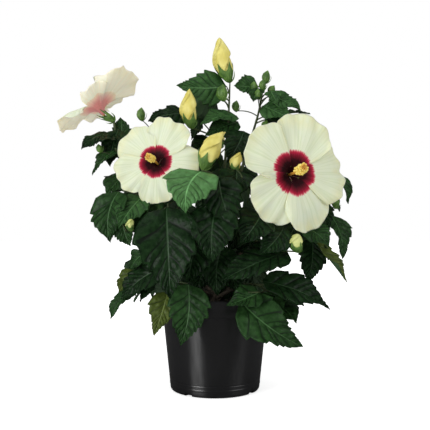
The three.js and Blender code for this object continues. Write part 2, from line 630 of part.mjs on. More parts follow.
// A stalked leaf by the seeded rule: round the stem or twig by the golden angle, drooping outward
function seededLeaf(mass, index) {
  const draw = seeded(mass.seed + index);
  const curve = mass.axes[index % mass.axes.length];
  const t = 0.1 + 0.88 * draw();
  const root = { point: curve.getPoint(t), along: curve.getTangent(t) };
  const side = sideways(root.along, GOLDEN_ANGLE * index + 0.5 * draw());
  const stalkLength = 20 + 22 * draw();
  const base = root.point.clone().addScaledVector(side, stalkLength * 0.85)
    .addScaledVector(UP, stalkLength * 0.4);
  const outward = new THREE.Vector3(side.x + 0.012 * base.x, side.y + 0.012 * base.y, 0).normalize();
  const droop = THREE.MathUtils.degToRad(12 + 52 * draw());
  const length = (60 + 32 * draw()) * mass.leafScale;
  const tip = base.clone().addScaledVector(outward, Math.cos(droop) * length)
    .addScaledVector(UP, -Math.sin(droop) * length);
  const facing = UP.clone().multiplyScalar(0.6).addScaledVector(outward, 0.8)
    .addScaledVector(sideways(UP, FULL_TURN * draw()), 0.35);
  const width = length * (0.72 + 0.14 * draw());
  return { root, base, tip, width, facing, curl: 22 + 26 * draw(), fold: 4 + 8 * draw() };
}

// Whether a leaf keeps to its space, inside the crown, and clear of limbs, petals, pot and other leaves
function leafFits(mass, leaf) {
  const samples = leafSamples(leaf);
  if (!samples.every((point) => inSpace(mass, point) && insideOutline(point))) return false;
  const clearOfPot = (point) => point.z > POT_HEIGHT + POT_CLEARANCE
    || Math.hypot(point.x, point.y) > POT_RIM_RADIUS + POT_CLEARANCE;
  if (!samples.every(clearOfPot)) return false;
  const blade = samples.slice(3);
  const nearLimb = (point) => limbPoints.some((limbPoint) => limbPoint.distanceTo(point) < LIMB_CLEARANCE);
  if (blade.some(nearLimb)) return false;
  if (FLOWERS.some((flower) => samples.some((point) => nearPetals(flower, point)))) return false;
  const middle = leafMiddle(leaf);
  return grown.every((other) => leafMiddle(other).distanceTo(middle) > LEAF_SPACING * mass.leafScale);
}

function nearPetals(flower, point) {
  const from = point.clone().sub(flower.foot);
  const height = from.dot(flower.axis);
  const radius = from.addScaledVector(flower.axis, -height).length();
  if (radius > flower.radius + PETAL_CLEARANCE) return false;
  const petalHeight = PETAL_DEPTH * flower.radius * Math.min(1, radius / flower.radius) ** 0.5;
  return Math.abs(height - petalHeight) < PETAL_CLEARANCE || (radius < 0.2 * flower.radius && height > -40);
}

// Every piece made so far with the node it belongs to, for the test that nodes keep apart
const taken = [];

function boxesNear(a, b) {
  return [0, 1, 2].every((i) => a.min[i] < b.max[i] + TOUCH_RANGE && b.min[i] < a.max[i] + TOUCH_RANGE);
}

function touchesOthers(owner, body) {
  const box = body.boundingBox();
  return taken.some((other) => other.owner !== owner && boxesNear(other.box, box)
    && other.body.minGap(body, TOUCH_RANGE) < 0.9 * GAP);
}

function take(owner, body) {
  taken.push({ owner, body, box: body.boundingBox() });
  return body;
}

// Pot: a straight-sided tub with a deeper band at the rim, its wall open at the top, notched for drainage
function potSolid() {
  const bodyTop = POT_RIM_RADIUS - POT_BAND_STEP - 2;
  const bandFoot = POT_HEIGHT - POT_BAND_HEIGHT;
  const cornerTop = POT_BASE_RADIUS + 0.7 * POT_CORNER;
  const profile = [
    [0, 0], [POT_BASE_RADIUS, 0],
    [POT_BASE_RADIUS + 0.5 * POT_CORNER, 0.3 * POT_CORNER], [cornerTop, POT_CORNER],
    [bodyTop, bandFoot], [bodyTop + POT_BAND_STEP, bandFoot + 1],
    [POT_RIM_RADIUS, POT_HEIGHT - 1.2], [POT_RIM_RADIUS - 1, POT_HEIGHT],
    [POT_RIM_RADIUS - POT_WALL, POT_HEIGHT], [bodyTop + POT_BAND_STEP - POT_WALL, bandFoot + 2],
    [bodyTop - POT_WALL, bandFoot - 1], [cornerTop - POT_WALL, POT_CORNER + 1],
    [POT_BASE_RADIUS, POT_WALL], [0, POT_WALL],
  ];
  let pot = turned(profile, POT_SIDES);
  for (let i = 0; i < 4; i += 1) {
    const angle = THREE.MathUtils.degToRad(DRAIN_FIRST_DEG - 90 + 90 * i);
    const notch = new THREE.BoxGeometry(DRAIN_DEPTH, DRAIN_WIDTH, 2 * DRAIN_HEIGHT);
    notch.translate(POT_BASE_RADIUS + 1, 0, 0);
    notch.rotateZ(angle);
    pot = pot.subtract(solid(notch));
  }
  return largest(pot);
}

// Soil fills the pot up to SOIL_TOP, clear of its wall
function soilSolid() {
  const low = POT_WALL + GAP;
  const lowRadius = POT_BASE_RADIUS - 1;
  const bandFoot = POT_HEIGHT - POT_BAND_HEIGHT;
  const topRadius = POT_RIM_RADIUS - POT_BAND_STEP - 2 - POT_WALL - 1;
  return turned([[0, low], [lowRadius, low], [lowRadius + 1.6, POT_CORNER + 1], [topRadius, bandFoot - 1],
    [topRadius, SOIL_TOP], [0, SOIL_TOP]], POT_SIDES);
}

const shrub = new THREE.Group();
shrub.add(named(take('pot', potSolid()), 'pot', 'pot'));
shrub.add(named(take('soil', soilSolid()), 'soil', 'soil'));
shrub.add(named(take('trunk', limb(trunkCurve, trunkRadius, 10, 6)), 'trunk', 'bark'));

// Boughs are cut clear of the trunk and of the boughs before them
const stretched = limb(trunkCurve, (t) => trunkRadius(t) + 1.2 * GAP, 10, 6);
const boughs = [];
for (const mass of MASSES) {
  const radius = taper(BOUGH_FOOT_RADIUS, BOUGH_TIP_RADIUS);
  let bough = limb(mass.bough, radius, 6, 5);
  if (mass.fork < 1) bough = bough.subtract(stretched);
  for (const earlier of boughs) bough = bough.subtract(earlier);
  bough = largest(bough);
  boughs.push(limb(mass.bough, (t) => radius(t) + 1.2 * GAP, 6, 5));
  shrub.add(named(take(`bough_${mass.name}`, bough), `bough_${mass.name}`, 'bark'));
}

MASSES.forEach((mass) => take(mass.name, mass.pieces[0]));
for (const flower of FLOWERS) {
  const body = take(flower.name + '_flower', flowerSolid(flower));
  shrub.add(named(body, `flower_${flower.name}`, 'petal'));
}

// Placed leaves and buds come first, then the seeded leaves fill each mass's space. What would touch another
// node is left out, and so is a seeded leaf that would touch one of its own mass.
const grown = [];
function add(mass, body, blade = false) {
  if (touchesOthers(mass.name, body)) return false;
  if (blade && mass.blades.some((other) => other.minGap(body, TOUCH_RANGE) < GAP)) return false;
  mass.blades.push(body);
  mass.pieces.push(take(mass.name, body));
  return true;
}
for (const mass of MASSES) {
  growTwigs(mass);
  mass.pieces.slice(1).forEach((twig) => take(mass.name, twig));
  for (const leaf of mass.placed.map(placedLeaf)) {
    if (add(mass, stalkedLeaf(leaf, stalkRoot(mass, leaf.base)))) grown.push(leaf);
  }
  mass.buds.forEach((bud) => add(mass, budSolid(mass, bud)));
}
for (const mass of MASSES) {
  let count = 0;
  for (let i = 0; i < LEAF_TRIES && count < mass.leaves; i += 1) {
    const leaf = seededLeaf(mass, i);
    if (leafFits(mass, leaf) && add(mass, stalkedLeaf(leaf, leaf.root), true)) {
      grown.push(leaf);
      count += 1;
    }
  }
}
for (const mass of MASSES) shrub.add(named(fuse(mass.pieces), `foliage_${mass.name}`, 'leaf'));

export default shrub;
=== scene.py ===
"""A hibiscus shrub in its round nursery pot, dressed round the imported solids.

Lengths are in millimetres until a mesh is made, where they become metres. The plant grows by the same
seeded rule as its solids: a trunk, boughs, a stem and twigs in each mass, then leaves, buds and flowers.
"""
import math

import bpy
import numpy as np
from mathutils import Matrix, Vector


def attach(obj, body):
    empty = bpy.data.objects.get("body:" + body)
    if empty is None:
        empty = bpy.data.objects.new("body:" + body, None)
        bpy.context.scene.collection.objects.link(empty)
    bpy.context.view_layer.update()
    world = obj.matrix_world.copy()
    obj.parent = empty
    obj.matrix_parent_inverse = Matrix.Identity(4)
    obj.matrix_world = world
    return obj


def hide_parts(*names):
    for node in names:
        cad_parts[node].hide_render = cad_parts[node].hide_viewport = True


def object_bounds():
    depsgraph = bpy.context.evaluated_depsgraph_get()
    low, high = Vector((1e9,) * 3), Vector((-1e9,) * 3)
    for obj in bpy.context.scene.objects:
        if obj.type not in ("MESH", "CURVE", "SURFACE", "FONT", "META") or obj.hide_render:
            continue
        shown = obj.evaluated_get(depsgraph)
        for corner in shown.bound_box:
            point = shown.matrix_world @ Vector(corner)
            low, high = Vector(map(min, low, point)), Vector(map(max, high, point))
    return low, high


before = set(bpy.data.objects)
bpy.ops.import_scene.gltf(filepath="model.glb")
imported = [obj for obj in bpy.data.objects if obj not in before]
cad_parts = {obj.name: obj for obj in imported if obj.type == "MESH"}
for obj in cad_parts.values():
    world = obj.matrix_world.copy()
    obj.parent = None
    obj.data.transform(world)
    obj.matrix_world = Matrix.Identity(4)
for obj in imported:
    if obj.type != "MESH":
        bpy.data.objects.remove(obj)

CAD_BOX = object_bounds()
METRES = 0.001

# The pot and the soil
POT_HEIGHT = 147
POT_RIM_RADIUS = 86
POT_BASE_RADIUS = 66
POT_WALL = 2
POT_BAND_HEIGHT = 25
POT_BAND_STEP = 1.6
POT_CORNER = 6
DRAIN_WIDTH = 12
DRAIN_HEIGHT = 5
DRAIN_DEPTH = 9
DRAIN_FIRST_DEG = -36
SOIL_TOP = 128

# The limbs
TRUNK_TIP = (4, 5, 204)
TRUNK_FOOT_RADIUS = 6.2
TRUNK_TIP_RADIUS = 4.6
TRUNK_FLARE = 3.4
BOUGH_FOOT_RADIUS = 3.4
BOUGH_TIP_RADIUS = 2.5
STEM_TIP_RADIUS = 1.3
TWIG_RADIUS = 1.5
PETIOLE_RADIUS = 0.95
GAP = 0.3

# The leaves
LEAF_THICKNESS = 0.7
LEAF_BROADEST = 0.33
LEAF_ROUNDNESS = 0.58
VEIN_SLANT = 0.75
QUILTING = 2.5
LEAF_TEETH = 0.2
LEAF_MIDDLE = 0.45
# Each grid: side veins, rows between two of them, and columns from the midrib to the margin
PLACED_GRID = (8, np.array([0, 0.07, 0.25, 0.5, 0.75, 0.93]),
               np.array([0.03, 0.11, 0.2, 0.3, 0.4, 0.5, 0.6, 0.7, 0.8, 0.9, 1.0]))
SEEDED_GRID = (6, np.array([0, 0.46, 0.92]), np.array([0.05, 0.45, 1.0]))

# The flowers: the radius that their small parts are sized for, how many rows and columns a petal has, the
# step from one to the next, a petal's run along its curve over its reach, and the share of it by which its
# slope has turned
USUAL_RADIUS = 80
PETAL_ROWS = 56
PETAL_STEP_DEG = 72
PETAL_RUN = 1.09
PETAL_OPENING = 0.42
PETAL_THICKNESS = 0.7
PETAL_LAP = 3.2
PETAL_DEPTH = 0.26
THROAT_SLOPE_DEG = 16
MARGIN_DROOP_DEG = 8
PETAL_LONGEST = 1.15

# The wall of a calyx, the power of a bud's upper half, and how many anthers a flower and how many crumbs
# the soil has
CALYX_WALL = 0.6
POINTED = 1.35
BLUNT = 0.7
ANTHERS = 80
CRUMBS = 420

# What leaves, twigs and stalks keep clear of, how deep a placed leaf still counts as shown, and how many
# seeded leaves are tried in each mass
LEAF_SPACING = 15
LIMB_CLEARANCE = 4
ROOT_SPACING = 4
PETAL_CLEARANCE = 9
POT_CLEARANCE = 5
BLADE_CLEARANCE = 5
VIEW_CLEARANCE = 8
SHOWN_DEPTH = 40
LEAF_TRIES = 420

# The seeds: how far apart those of two masses are, and where a mass's twigs and blades take theirs from
MASS_SEEDS = 1000
TWIG_SEEDS = 500
BLADE_SEEDS = 40

GOLDEN_ANGLE = math.radians(137.5)
FULL_TURN = 2 * math.pi
UP = np.array([0.0, 0.0, 1.0])

# The front view: where its eye stands, the crown's edges there (height, left, right at depth 0),
# and the round gaps where sky shows through (x, z, radius at depth 0)
EYE = np.array([0.0, -1106.0, 273.0])
CROWN_EDGES = np.array([
    (92, -100, 135), (125, -118, 142), (155, -150, 168), (185, -148, 180), (212, -128, 195),
    (235, -138, 204), (262, -184, 198), (300, -180, 202), (340, -162, 208), (380, -174, 205),
    (410, -165, 180), (430, -120, 128), (470, -52, 98), (500, -20, 90),
], float)
SKY_GAPS = [
    (122, 190, 25), (148, 160, 22), (-23, 396, 9), (43, 404, 11), (62, 438, 24), (-158, 345, 16),
]

# Each mass: the scale of its seeded leaves, the trunk fraction its bough leaves from, the joint where the
# bough ends, the tip of the mass's own stem, its space as an ellipsoid with a centre and a reach, and how
# many twigs and seeded leaves it has at most
MASS_KEYS = ("name", "scale", "fork", "joint", "tip", "centre", "reach", "twigs", "leaves")
MASSES = [dict(zip(MASS_KEYS, row)) for row in [
    ("top", 0.8, 1, (14, 10, 330), (23, 7, 470), (10, 5, 425), (78, 52, 85), 3, 10),
    ("top_right", 0.62, 0.93, (40, 26, 335), (76, 18, 478), (92, 15, 445), (66, 45, 66), 2, 7),
    ("upper_left", 0.85, 0.86, (-60, 20, 300), (-92, 26, 400), (-72, 18, 385), (62, 48, 75), 3, 12),
    ("far_left", 0.7, 0.72, (-108, 10, 285), (-158, 15, 388), (-150, 5, 365), (62, 52, 66), 2, 8),
    ("left", 0.95, 0.52, (-84, -28, 226), (-142, -38, 296), (-125, -42, 272), (66, 62, 68), 3, 12),
    ("front_left", 1.05, 0.6, (-44, -60, 215), (-68, -92, 290), (-62, -105, 240), (66, 66, 92), 3, 12),
    ("front", 0.95, 0.78, (4, -58, 235), (6, -86, 330), (10, -90, 300), (66, 68, 92), 3, 12),
    ("front_right", 0.95, 0.42, (46, -46, 198), (90, -78, 250), (72, -88, 235), (74, 62, 66), 3, 12),
    ("right", 0.9, 0.66, (86, -12, 236), (176, -14, 306), (160, -28, 262), (66, 64, 92), 3, 13),
    ("low_left", 0.95, 0.22, (-48, -42, 168), (-104, -66, 196), (-96, -72, 160), (72, 58, 74), 2, 10),
    ("low_right", 1.0, 0.16, (42, -44, 166), (84, -78, 178), (86, -88, 145), (96, 58, 66), 2, 10),
    ("back_left", 1.1, 0.58, (-62, 60, 240), (-104, 104, 345), (-92, 88, 300), (86, 84, 98), 5, 24),
    ("back_right", 1.1, 0.48, (64, 62, 238), (110, 100, 345), (98, 86, 298), (90, 84, 96), 5, 24),
    ("back", 1.08, 0.82, (0, 70, 262), (2, 112, 375), (2, 112, 330), (84, 80, 92), 5, 24),
    ("low_back_left", 1.05, 0.3, (-42, 44, 172), (-88, 88, 198), (-80, 84, 172), (92, 80, 72), 4, 20),
    ("low_back_right", 1.05, 0.1, (44, 46, 170), (90, 90, 196), (82, 84, 170), (92, 80, 72), 4, 20),
]]

# The placed leaves of each mass: base, tip, width, the way the upper side faces, and, where they aren't
# the usual ones, curl and fold in degrees and tone. The tone is partly painted shade and light: darker
# for leaves lying in shade, lighter for lit ones.
PLACED = {
    "top": [
        ((18, 8, 478), (-60, -22, 474), 56, (-0.05, -1, 0.15), 14, -4, "lit_fresh"),
        ((35, 6, 430), (-23, -24, 413), 46, (-0.1, -0.65, 0.75), 30, 8, "lit_fresh"),
        ((37, 14, 422), (-16, -8, 397), 46, (-0.1, -0.75, 0.6), 25, 8, "mid"),
        ((-4, 22, 396), (-38, 2, 364), 44, (-0.1, -0.8, 0.6)),
        ((-27, 22, 430), (-38, 8, 392), 22, (-0.3, -0.9, 0.3), 20, 8, "deep"),
    ],
    "top_right": [
        ((70, 32, 482), (30, 8, 479), 42, (0, -0.95, 0.3), 15, 6, "lit_fresh"),
        ((88, 15, 463), (136, 0, 438), 44, (0.3, -0.75, 0.6), 50, 6, "lit_fresh"),
        ((76, 6, 446), (120, -14, 423), 46, (0.1, -0.85, 0.5), 35, 8, "lit_fresh"),
        ((109, 28, 435), (152, 8, 434), 38, (0, -0.12, 1), 30, 6, "deep"),
        ((114, 18, 427), (70, 2, 404), 44, (0, -0.85, 0.5), 30, 8, "deep"),
        ((88, 4, 470), (98, -12, 446), 28, (0.2, -0.9, 0.4), 25, 8, "lit_fresh"),
        ((72, 8, 474), (60, -8, 450), 26, (-0.2, -0.9, 0.4), 25, 8, "mid"),
    ],
    "upper_left": [
        ((-45, 24, 436), (-107, 8, 422), 50, (-0.2, -0.8, 0.55), 35, -8, "deep"),
    ],
    "far_left": [
        ((-154, 5, 397), (-206, -30, 374), 48, (-0.2, -0.6, 0.75), 75, -8, "deep"),
        ((-151, -5, 381), (-189, -32, 334), 36, (-0.5, -0.6, 0.6), 30, 8, "mid"),
        ((-153, 0, 408), (-164, -14, 348), 44, (-0.3, -0.9, 0.3)),
        ((-153, 20, 390), (-154, 30, 432), 34, (-0.2, -0.9, 0.3), 10, 8, "mid"),
    ],
    "left": [
        ((-138, -2, 338), (-169, -24, 301), 52, (-0.5, -0.7, 0.5), 40, 8, "mid"),
        ((-147, -42, 309), (-156, -62, 231), 62, (-0.35, -0.85, 0.35), 35, 10, "mid"),
        ((-110, -46, 301), (-142, -80, 253), 52, (-0.2, -0.8, 0.5), 35, 8, "lit_fresh"),
        ((-140, -55, 265), (-125, -68, 226), 34, (-0.4, -0.85, 0.3), 20, 12, "mid"),
    ],
    "front_left": [
        ((-69, -115, 284), (-61, -148, 157), 90, (-0.1, -0.95, 0.3), 38, 10, "deep"),
        ((-26, -96, 240), (-38, -126, 177), 64, (0, -0.9, 0.4), 35, 10, "deep"),
    ],
    "front": [
        ((-20, -98, 336), (-40, -152, 275), 76, (0, -0.8, 0.6), 35, 6, "light"),
        ((6, -88, 328), (30, -118, 246), 60, (0.1, -0.9, 0.4), 35, 10, "deep"),
        ((31, -70, 340), (20, -98, 298), 56, (0.1, -0.8, 0.6), 30, 8, "deep"),
        ((1, -108, 283), (-4, -146, 206), 72, (0.1, -0.9, 0.4), 35, 10, "deep"),
        ((45, -12, 404), (18, -44, 352), 50, (0.1, -0.85, 0.5)),
        ((12, -80, 228), (4, -102, 156), 58, (0, -0.95, 0.3), 30, 8, "deep"),
        ((4, -46, 372), (-36, -58, 326), 46, (-0.1, -0.85, 0.5), 20, 8, "deep"),
        ((-8, -56, 214), (-30, -78, 158), 50, (0, -0.95, 0.3)),
        ((26, -58, 212), (34, -84, 158), 50, (0, -0.95, 0.3)),
        ((10, -44, 320), (-26, -50, 266), 54, (0, -0.9, 0.4)),
    ],
    "front_right": [
        ((106, -86, 219), (9, -130, 182), 66, (0.1, -0.6, 0.8), 25, 10, "deep"),
        ((101, -84, 257), (62, -116, 216), 50, (0.1, -0.85, 0.5)),
        ((134, -40, 270), (106, -54, 226), 42, (0.1, -0.9, 0.4)),
        ((69, -80, 277), (35, -118, 232), 60, (0.1, -0.85, 0.5), 30, 8, "deep"),
    ],
    "right": [
        ((202, 5, 335), (210, -5, 290), 40, (0.7, -0.5, 0.4), 30, 10, "mid"),
        ((181, -15, 273), (194, -42, 205), 46, (0.6, -0.65, 0.5), 35, 10, "mid"),
        ((147, -48, 237), (137, -66, 171), 46, (0.1, -0.95, 0.3), 25, 10, "deep"),
        ((150, -55, 232), (195, -76, 174), 40, (0.6, -0.42, 0.65), 18, 24, "olive"),
        ((158, -30, 292), (172, -50, 246), 36, (0.2, -0.9, 0.3)),
        ((134, -60, 254), (168, -78, 225), 44, (0.1, -0.8, 0.6), 25, 8, "mid"),
    ],
    "low_left": [
        ((-39, -98, 174), (-49, -122, 88), 60, (0, -0.97, 0.25), 30, 8, "mid"),
        ((-69, -84, 161), (-88, -100, 99), 44, (-0.3, -0.9, 0.3), 25, 8, "olive"),
        ((-127, -50, 157), (-155, -68, 118), 34, (-0.5, -0.6, 0.6), 85, 8, "mid"),
        ((-122, -48, 190), (-144, -62, 158), 40, (-0.4, -0.75, 0.6), 25, 8, "olive"),
        ((-77, -90, 196), (-139, -74, 148), 58, (-0.2, -0.75, 0.65), 30, 8, "deep"),
        ((-105, -82, 216), (-125, -70, 192), 32, (-0.3, -0.8, 0.5), 20, 10, "mid"),
    ],
    "low_right": [
        ((68, -88, 177), (169, -84, 135), 64, (0.3, -0.6, 0.75), 40, 8, "deep"),
        ((36, -100, 150), (125, -120, 87), 74, (0.3, -0.9, 0.5), 25, 8, "mid"),
        ((65, -100, 162), (16, -118, 145), 44, (0, -0.7, 0.7), 30, 8, "mid"),
    ],
    "back": [
        ((44, 50, 354), (46, 30, 298), 56, (0.1, -0.9, 0.4)),
    ],
    "low_back_left": [
        ((-8, 70, 178), (-12, 108, 114), 64, (0, 0.95, 0.3)),
        ((0, 34, 262), (-24, 40, 212), 56, (0, -0.9, 0.4)),
        ((-44, 42, 186), (-66, 64, 136), 52, (0, -0.9, 0.4)),
    ],
    "low_back_right": [
        ((24, 62, 200), (34, 98, 138), 62, (0, 0.95, 0.3)),
        ((60, 60, 198), (80, 84, 136), 58, (0, 0.95, 0.3), 25, 8, "mid"),
        ((66, 40, 244), (38, 46, 198), 52, (0, -0.9, 0.4)),
        ((44, 36, 266), (22, 40, 214), 56, (0, -0.9, 0.4)),
        ((24, 42, 178), (8, 60, 130), 52, (0, -0.9, 0.4)),
    ],
}

# The buds of each mass: the foot of the calyx, the tip, the radius and the kind
BUDS = {
    "top": [
        ((24, 0, 481), (7, 0, 556), 15, "opening"), ((13, -15, 449), (13, -16, 477), 9, "green"),
        ((-36, -24, 405), (-39, -32, 467), 13, "opening"),
    ],
    "top_right": [
        ((82, 18, 483), (85, 16, 505), 6.5, "green"), ((88, 14, 464), (95, 12, 480), 6, "green"),
        ((66, 16, 470), (62, 14, 487), 6, "green"), ((34, 20, 438), (35, 18, 457), 6, "green"),
        ((80, 2, 408), (82, 0, 423), 6, "green"), ((76, 4, 469), (77, 1, 488), 5.5, "green"),
        ((70, 0, 455), (68, -4, 472), 5, "green"),
    ],
    "upper_left": [
        ((-117, 20, 423), (-118, 19, 446), 7, "green"),
    ],
    "far_left": [
        ((-176, -18, 369), (-181, -22, 383), 5, "green"),
    ],
    "left": [
        ((-122, -92, 249), (-121, -95, 267), 6, "pale"),
    ],
    "front": [
        ((-19, -75, 338), (12, -76, 396), 15, "opening"), ((29, -60, 336), (38, -61, 367), 9, "opening"),
    ],
    "front_right": [
        ((119, -100, 218), (118, -102, 246), 10, "pale"),
    ],
    "right": [
        ((187, -12, 282), (194, -10, 298), 6, "green"),
    ],
    "back": [
        ((8, 118, 388), (12, 126, 436), 12, "opening"), ((-8, 112, 384), (-16, 116, 402), 6, "green"),
    ],
}

# Each open flower: the mass whose stem carries it, the middle of its throat, the way it faces,
# its radius, its turn in degrees, the flare of its petals and the lean of its column. Its calyx lies
# behind it along its axis, or comes from the side where calyx_from says so. Its petals differ a little,
# each with the degrees that it is moved round, its reach, and how far its end droops and tilts.
FLOWERS = [
    dict(name="front_right", mass="right", throat=(116, -90, 334), faces=(0.41, -0.9, 0.12),
         radius=86, turn=6, flare=88, lean=(-10, 0, 0), calyx_from=None,
         petals=[
             (2, 1.10, 5, 4), (-2, 1.09, 0, -4), (2, 1.02, -4, 5), (4, 1.01, 3, 0), (2, 1.07, 4, -5),
         ]),
    dict(name="front_left", mass="upper_left", throat=(-89, -58, 353), faces=(-0.2, -0.95, 0.23),
         radius=65, turn=62, flare=84, lean=(-2, 0, -3), calyx_from=None,
         petals=[
             (2, 1.09, 0, 4), (1, 1.07, 4, 0), (2, 1.0, -2, -4), (1, 1.03, 4, 4), (4, 1.08, 6, 0),
         ]),
    dict(name="far_left", mass="far_left", throat=(-188, 24, 449), faces=(-0.5, 0.12, 0.85),
         radius=71, turn=20, flare=76, lean=(10, 16, -14), calyx_from=(18, 0, -9),
         petals=[
             (6, 1.12, -6, 20), (-12, 0.84, -9, 0), (4, 1.08, 12, 6), (4, 1.0, 4, 0), (-8, 0.95, 0, 0),
         ]),
]

# The leaves' tones, each a darker and a lighter colour mixed in patches, and the share of seeded
# leaves that take it. The tones are partly the leaves' own greens and partly painted light and shade:
# the darker tones stand for leaves lying in shade and the lighter ones for lit leaves. Each darker
# colour, darker still, also paints the shade along the side veins, and each lighter one, brighter,
# gives the midrib.
LEAF_TONES = {
    "deep": ((0.003, 0.013, 0.003), (0.012, 0.036, 0.010), 0.40),
    "mid": ((0.010, 0.032, 0.008), (0.028, 0.078, 0.021), 0.34),
    "lit_fresh": ((0.024, 0.070, 0.020), (0.050, 0.130, 0.036), 0.16),
    "light": ((0.060, 0.155, 0.045), (0.105, 0.255, 0.086), 0.05),
    "olive": ((0.048, 0.072, 0.012), (0.095, 0.132, 0.026), 0.05),
}


def unit(vector):
    return vector / np.linalg.norm(vector)


def seeded(seed):
    """The same whole-number generator as the solids': an add, two xor-shifts and two multiplies."""
    whole = 0xFFFFFFFF
    state = seed & whole

    def draw():
        nonlocal state
        state = (state + 0x6D2B79F5) & whole
        mixed = ((state ^ (state >> 15)) * (state | 1)) & whole
        mixed ^= (mixed + (((mixed ^ (mixed >> 7)) * (mixed | 61)) & whole)) & whole
        return (mixed ^ (mixed >> 14)) / 4294967296

    return draw


class Bend:
    """A Bezier curve through its control points, read by share of its length."""

    def __init__(self, *points):
        self.points = np.array(points, float)
        self.grid = np.linspace(0, 1, 129)
        steps = np.linalg.norm(np.diff(self.raw(self.grid), axis=0), axis=1)
        self.table = np.concatenate([[0], np.cumsum(steps)])
        self.length = self.table[-1]

    def raw(self, t):
        """Points at the curve's own parameter, by de Casteljau's rule."""
        points = np.repeat(self.points[:, None, :], len(t), axis=1)
        while len(points) > 1:
            points = points[:-1] + (points[1:] - points[:-1]) * t[:, None]
        return points[0]

    def along(self, share):
        share = np.atleast_1d(share)
        return self.raw(np.interp(share * self.length, self.table, self.grid))

    def spot(self, share):
        """The point at one share of the length, and the heading there."""
        return self.along(share)[0], self.heading(share)[0]

    def heading(self, share):
        step = 0.004
        share = np.clip(np.atleast_1d(share), step, 1 - step)
        ahead = self.along(share + step) - self.along(share - step)
        return ahead / np.linalg.norm(ahead, axis=1, keepdims=True)


def sideways(along, angle):
    """A unit vector square to a direction, at an angle round it."""
    reference = UP if abs(along[2]) < 0.9 else np.array([1.0, 0.0, 0.0])
    across = unit(np.cross(along, reference))
    return across * math.cos(angle) + np.cross(along, across) * math.sin(angle)


def linked(name, data):
    """An object of its data, in the scene."""
    made = bpy.data.objects.new(name, data)
    bpy.context.scene.collection.objects.link(made)
    return made


class Piece:
    """Closed shells gathered into one mesh, with a material index on each face."""

    def __init__(self, name):
        self.name = name
        self.points, self.faces, self.slots, self.values = [], [], [], {}
        self.count = 0

    def add(self, shell, slot=0, values=None):
        """Takes in a shell, with one slot for it or a list for each of its sets of faces, and the values
        of its points by name."""
        points, faces = shell
        if outward_volume(points, faces) < 0:
            faces = [f[:, ::-1] for f in faces]
        self.points.append(points)
        self.faces += [f + self.count for f in faces]
        self.slots += slot if isinstance(slot, list) else [np.full(len(f), slot) for f in faces]
        for key, numbers in (values or {}).items():
            self.values.setdefault(key, []).append(numbers)
        self.count += len(points)

    def finish(self, materials, slot, *nodes):
        """Makes the object: points in metres, smooth faces, its point values as attributes."""
        mesh = bpy.data.meshes.new(self.name)
        points = kept_inside(np.concatenate(self.points) * METRES)
        corners = np.concatenate([f.ravel() for f in self.faces])
        sides = np.concatenate([np.full(len(f), f.shape[1]) for f in self.faces])
        starts = np.concatenate([[0], np.cumsum(sides)[:-1]])
        mesh.vertices.add(len(points))
        mesh.vertices.foreach_set("co", points.ravel())
        mesh.loops.add(len(corners))
        mesh.loops.foreach_set("vertex_index", corners.astype(np.int32))
        mesh.polygons.add(len(sides))
        mesh.polygons.foreach_set("loop_start", starts.astype(np.int32))
        mesh.polygons.foreach_set("material_index", np.concatenate(self.slots).astype(np.int32))
        mesh.polygons.foreach_set("use_smooth", np.ones(len(sides), bool))
        for key in sorted(self.values):
            layer = mesh.attributes.new(key, "FLOAT", "POINT")
            layer.data.foreach_set("value", np.concatenate(self.values[key]).astype(np.float32))
        mesh.update(calc_edges=True)
        mesh.validate()
        for material in materials:
            mesh.materials.append(material)
        piece = linked(self.name, mesh)
        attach(piece, "root")
        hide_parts(*nodes)
        return piece


def kept_inside(points):
    """Eases what lies in the last 7 mm before the solids' box, or past it, back inside: the room left is
    rest + (near - rest) e^((room - near) / (near - rest))."""
    low, high = (np.array(corner) for corner in CAD_BOX)
    near, rest = 0.007, 0.0003

    def eased(room):
        return np.where(room < near, rest + (near - rest) * np.exp((room - near) / (near - rest)), room)

    points = high - eased(high - points)
    inside = low + eased(points - low)
    inside[:, 2] = points[:, 2]
    return inside


def outward_volume(points, faces):
    """Six times the volume that the faces enclose, negative where they face inward."""
    total = 0
    for f in faces:
        for k in range(1, f.shape[1] - 1):
            a, b, c = points[f[:, 0]], points[f[:, k]], points[f[:, k + 1]]
            total += np.einsum("ij,ij->", a, np.cross(b, c))
    return total


def closed_rings(rings, first, last):
    """Rings of points joined in order, with a pole at each end: quads between rings, triangles at poles."""
    count, around = rings.shape[:2]
    points = np.concatenate([rings.reshape(-1, 3), [first, last]])
    here = np.arange(around)
    following = (here + 1) % around
    row = np.arange(count - 1)[:, None] * around
    quads = np.stack([row + here, row + following, row + around + following, row + around + here], -1)
    top = (count - 1) * around
    foot = np.stack([np.full(around, count * around), following, here], -1)
    cap = np.stack([np.full(around, count * around + 1), top + here, top + following], -1)
    return points, [quads.reshape(-1, 4), foot, cap]


def round_bar(curve, radius, around, steps, relief=None):
    """A bar of round section along a curve: centre + radius (cos a across + sin a other), its radius and
    its relief functions of the share of length and of the angle a."""
    share = np.linspace(0, 1, steps + 1)
    centres, ahead = curve.along(share), curve.heading(share)
    chord = np.abs(unit(centres[-1] - centres[0]))
    reference = np.eye(3)[int(np.argmin(chord))]
    across = reference - ahead * (ahead @ reference)[:, None]
    across /= np.linalg.norm(across, axis=1, keepdims=True)
    other = np.cross(ahead, across)
    angle = circle(around)
    reach = np.broadcast_to(radius(share)[:, None], (len(share), around)).copy()
    if relief is not None:
        reach *= 1 + relief(share[:, None], angle)
    rings = (centres[:, None] + across[:, None] * (reach * np.cos(angle))[..., None]
             + other[:, None] * (reach * np.sin(angle))[..., None])
    return closed_rings(rings, centres[0], centres[-1])


def circle(count):
    """Angles evenly round a full turn."""
    return np.linspace(0, FULL_TURN, count, endpoint=False)


def rings_round(reach, angle, level):
    """Points at a reach and an angle round +Z, each at its level."""
    return np.stack(np.broadcast_arrays(reach * np.cos(angle), reach * np.sin(angle), level), -1)


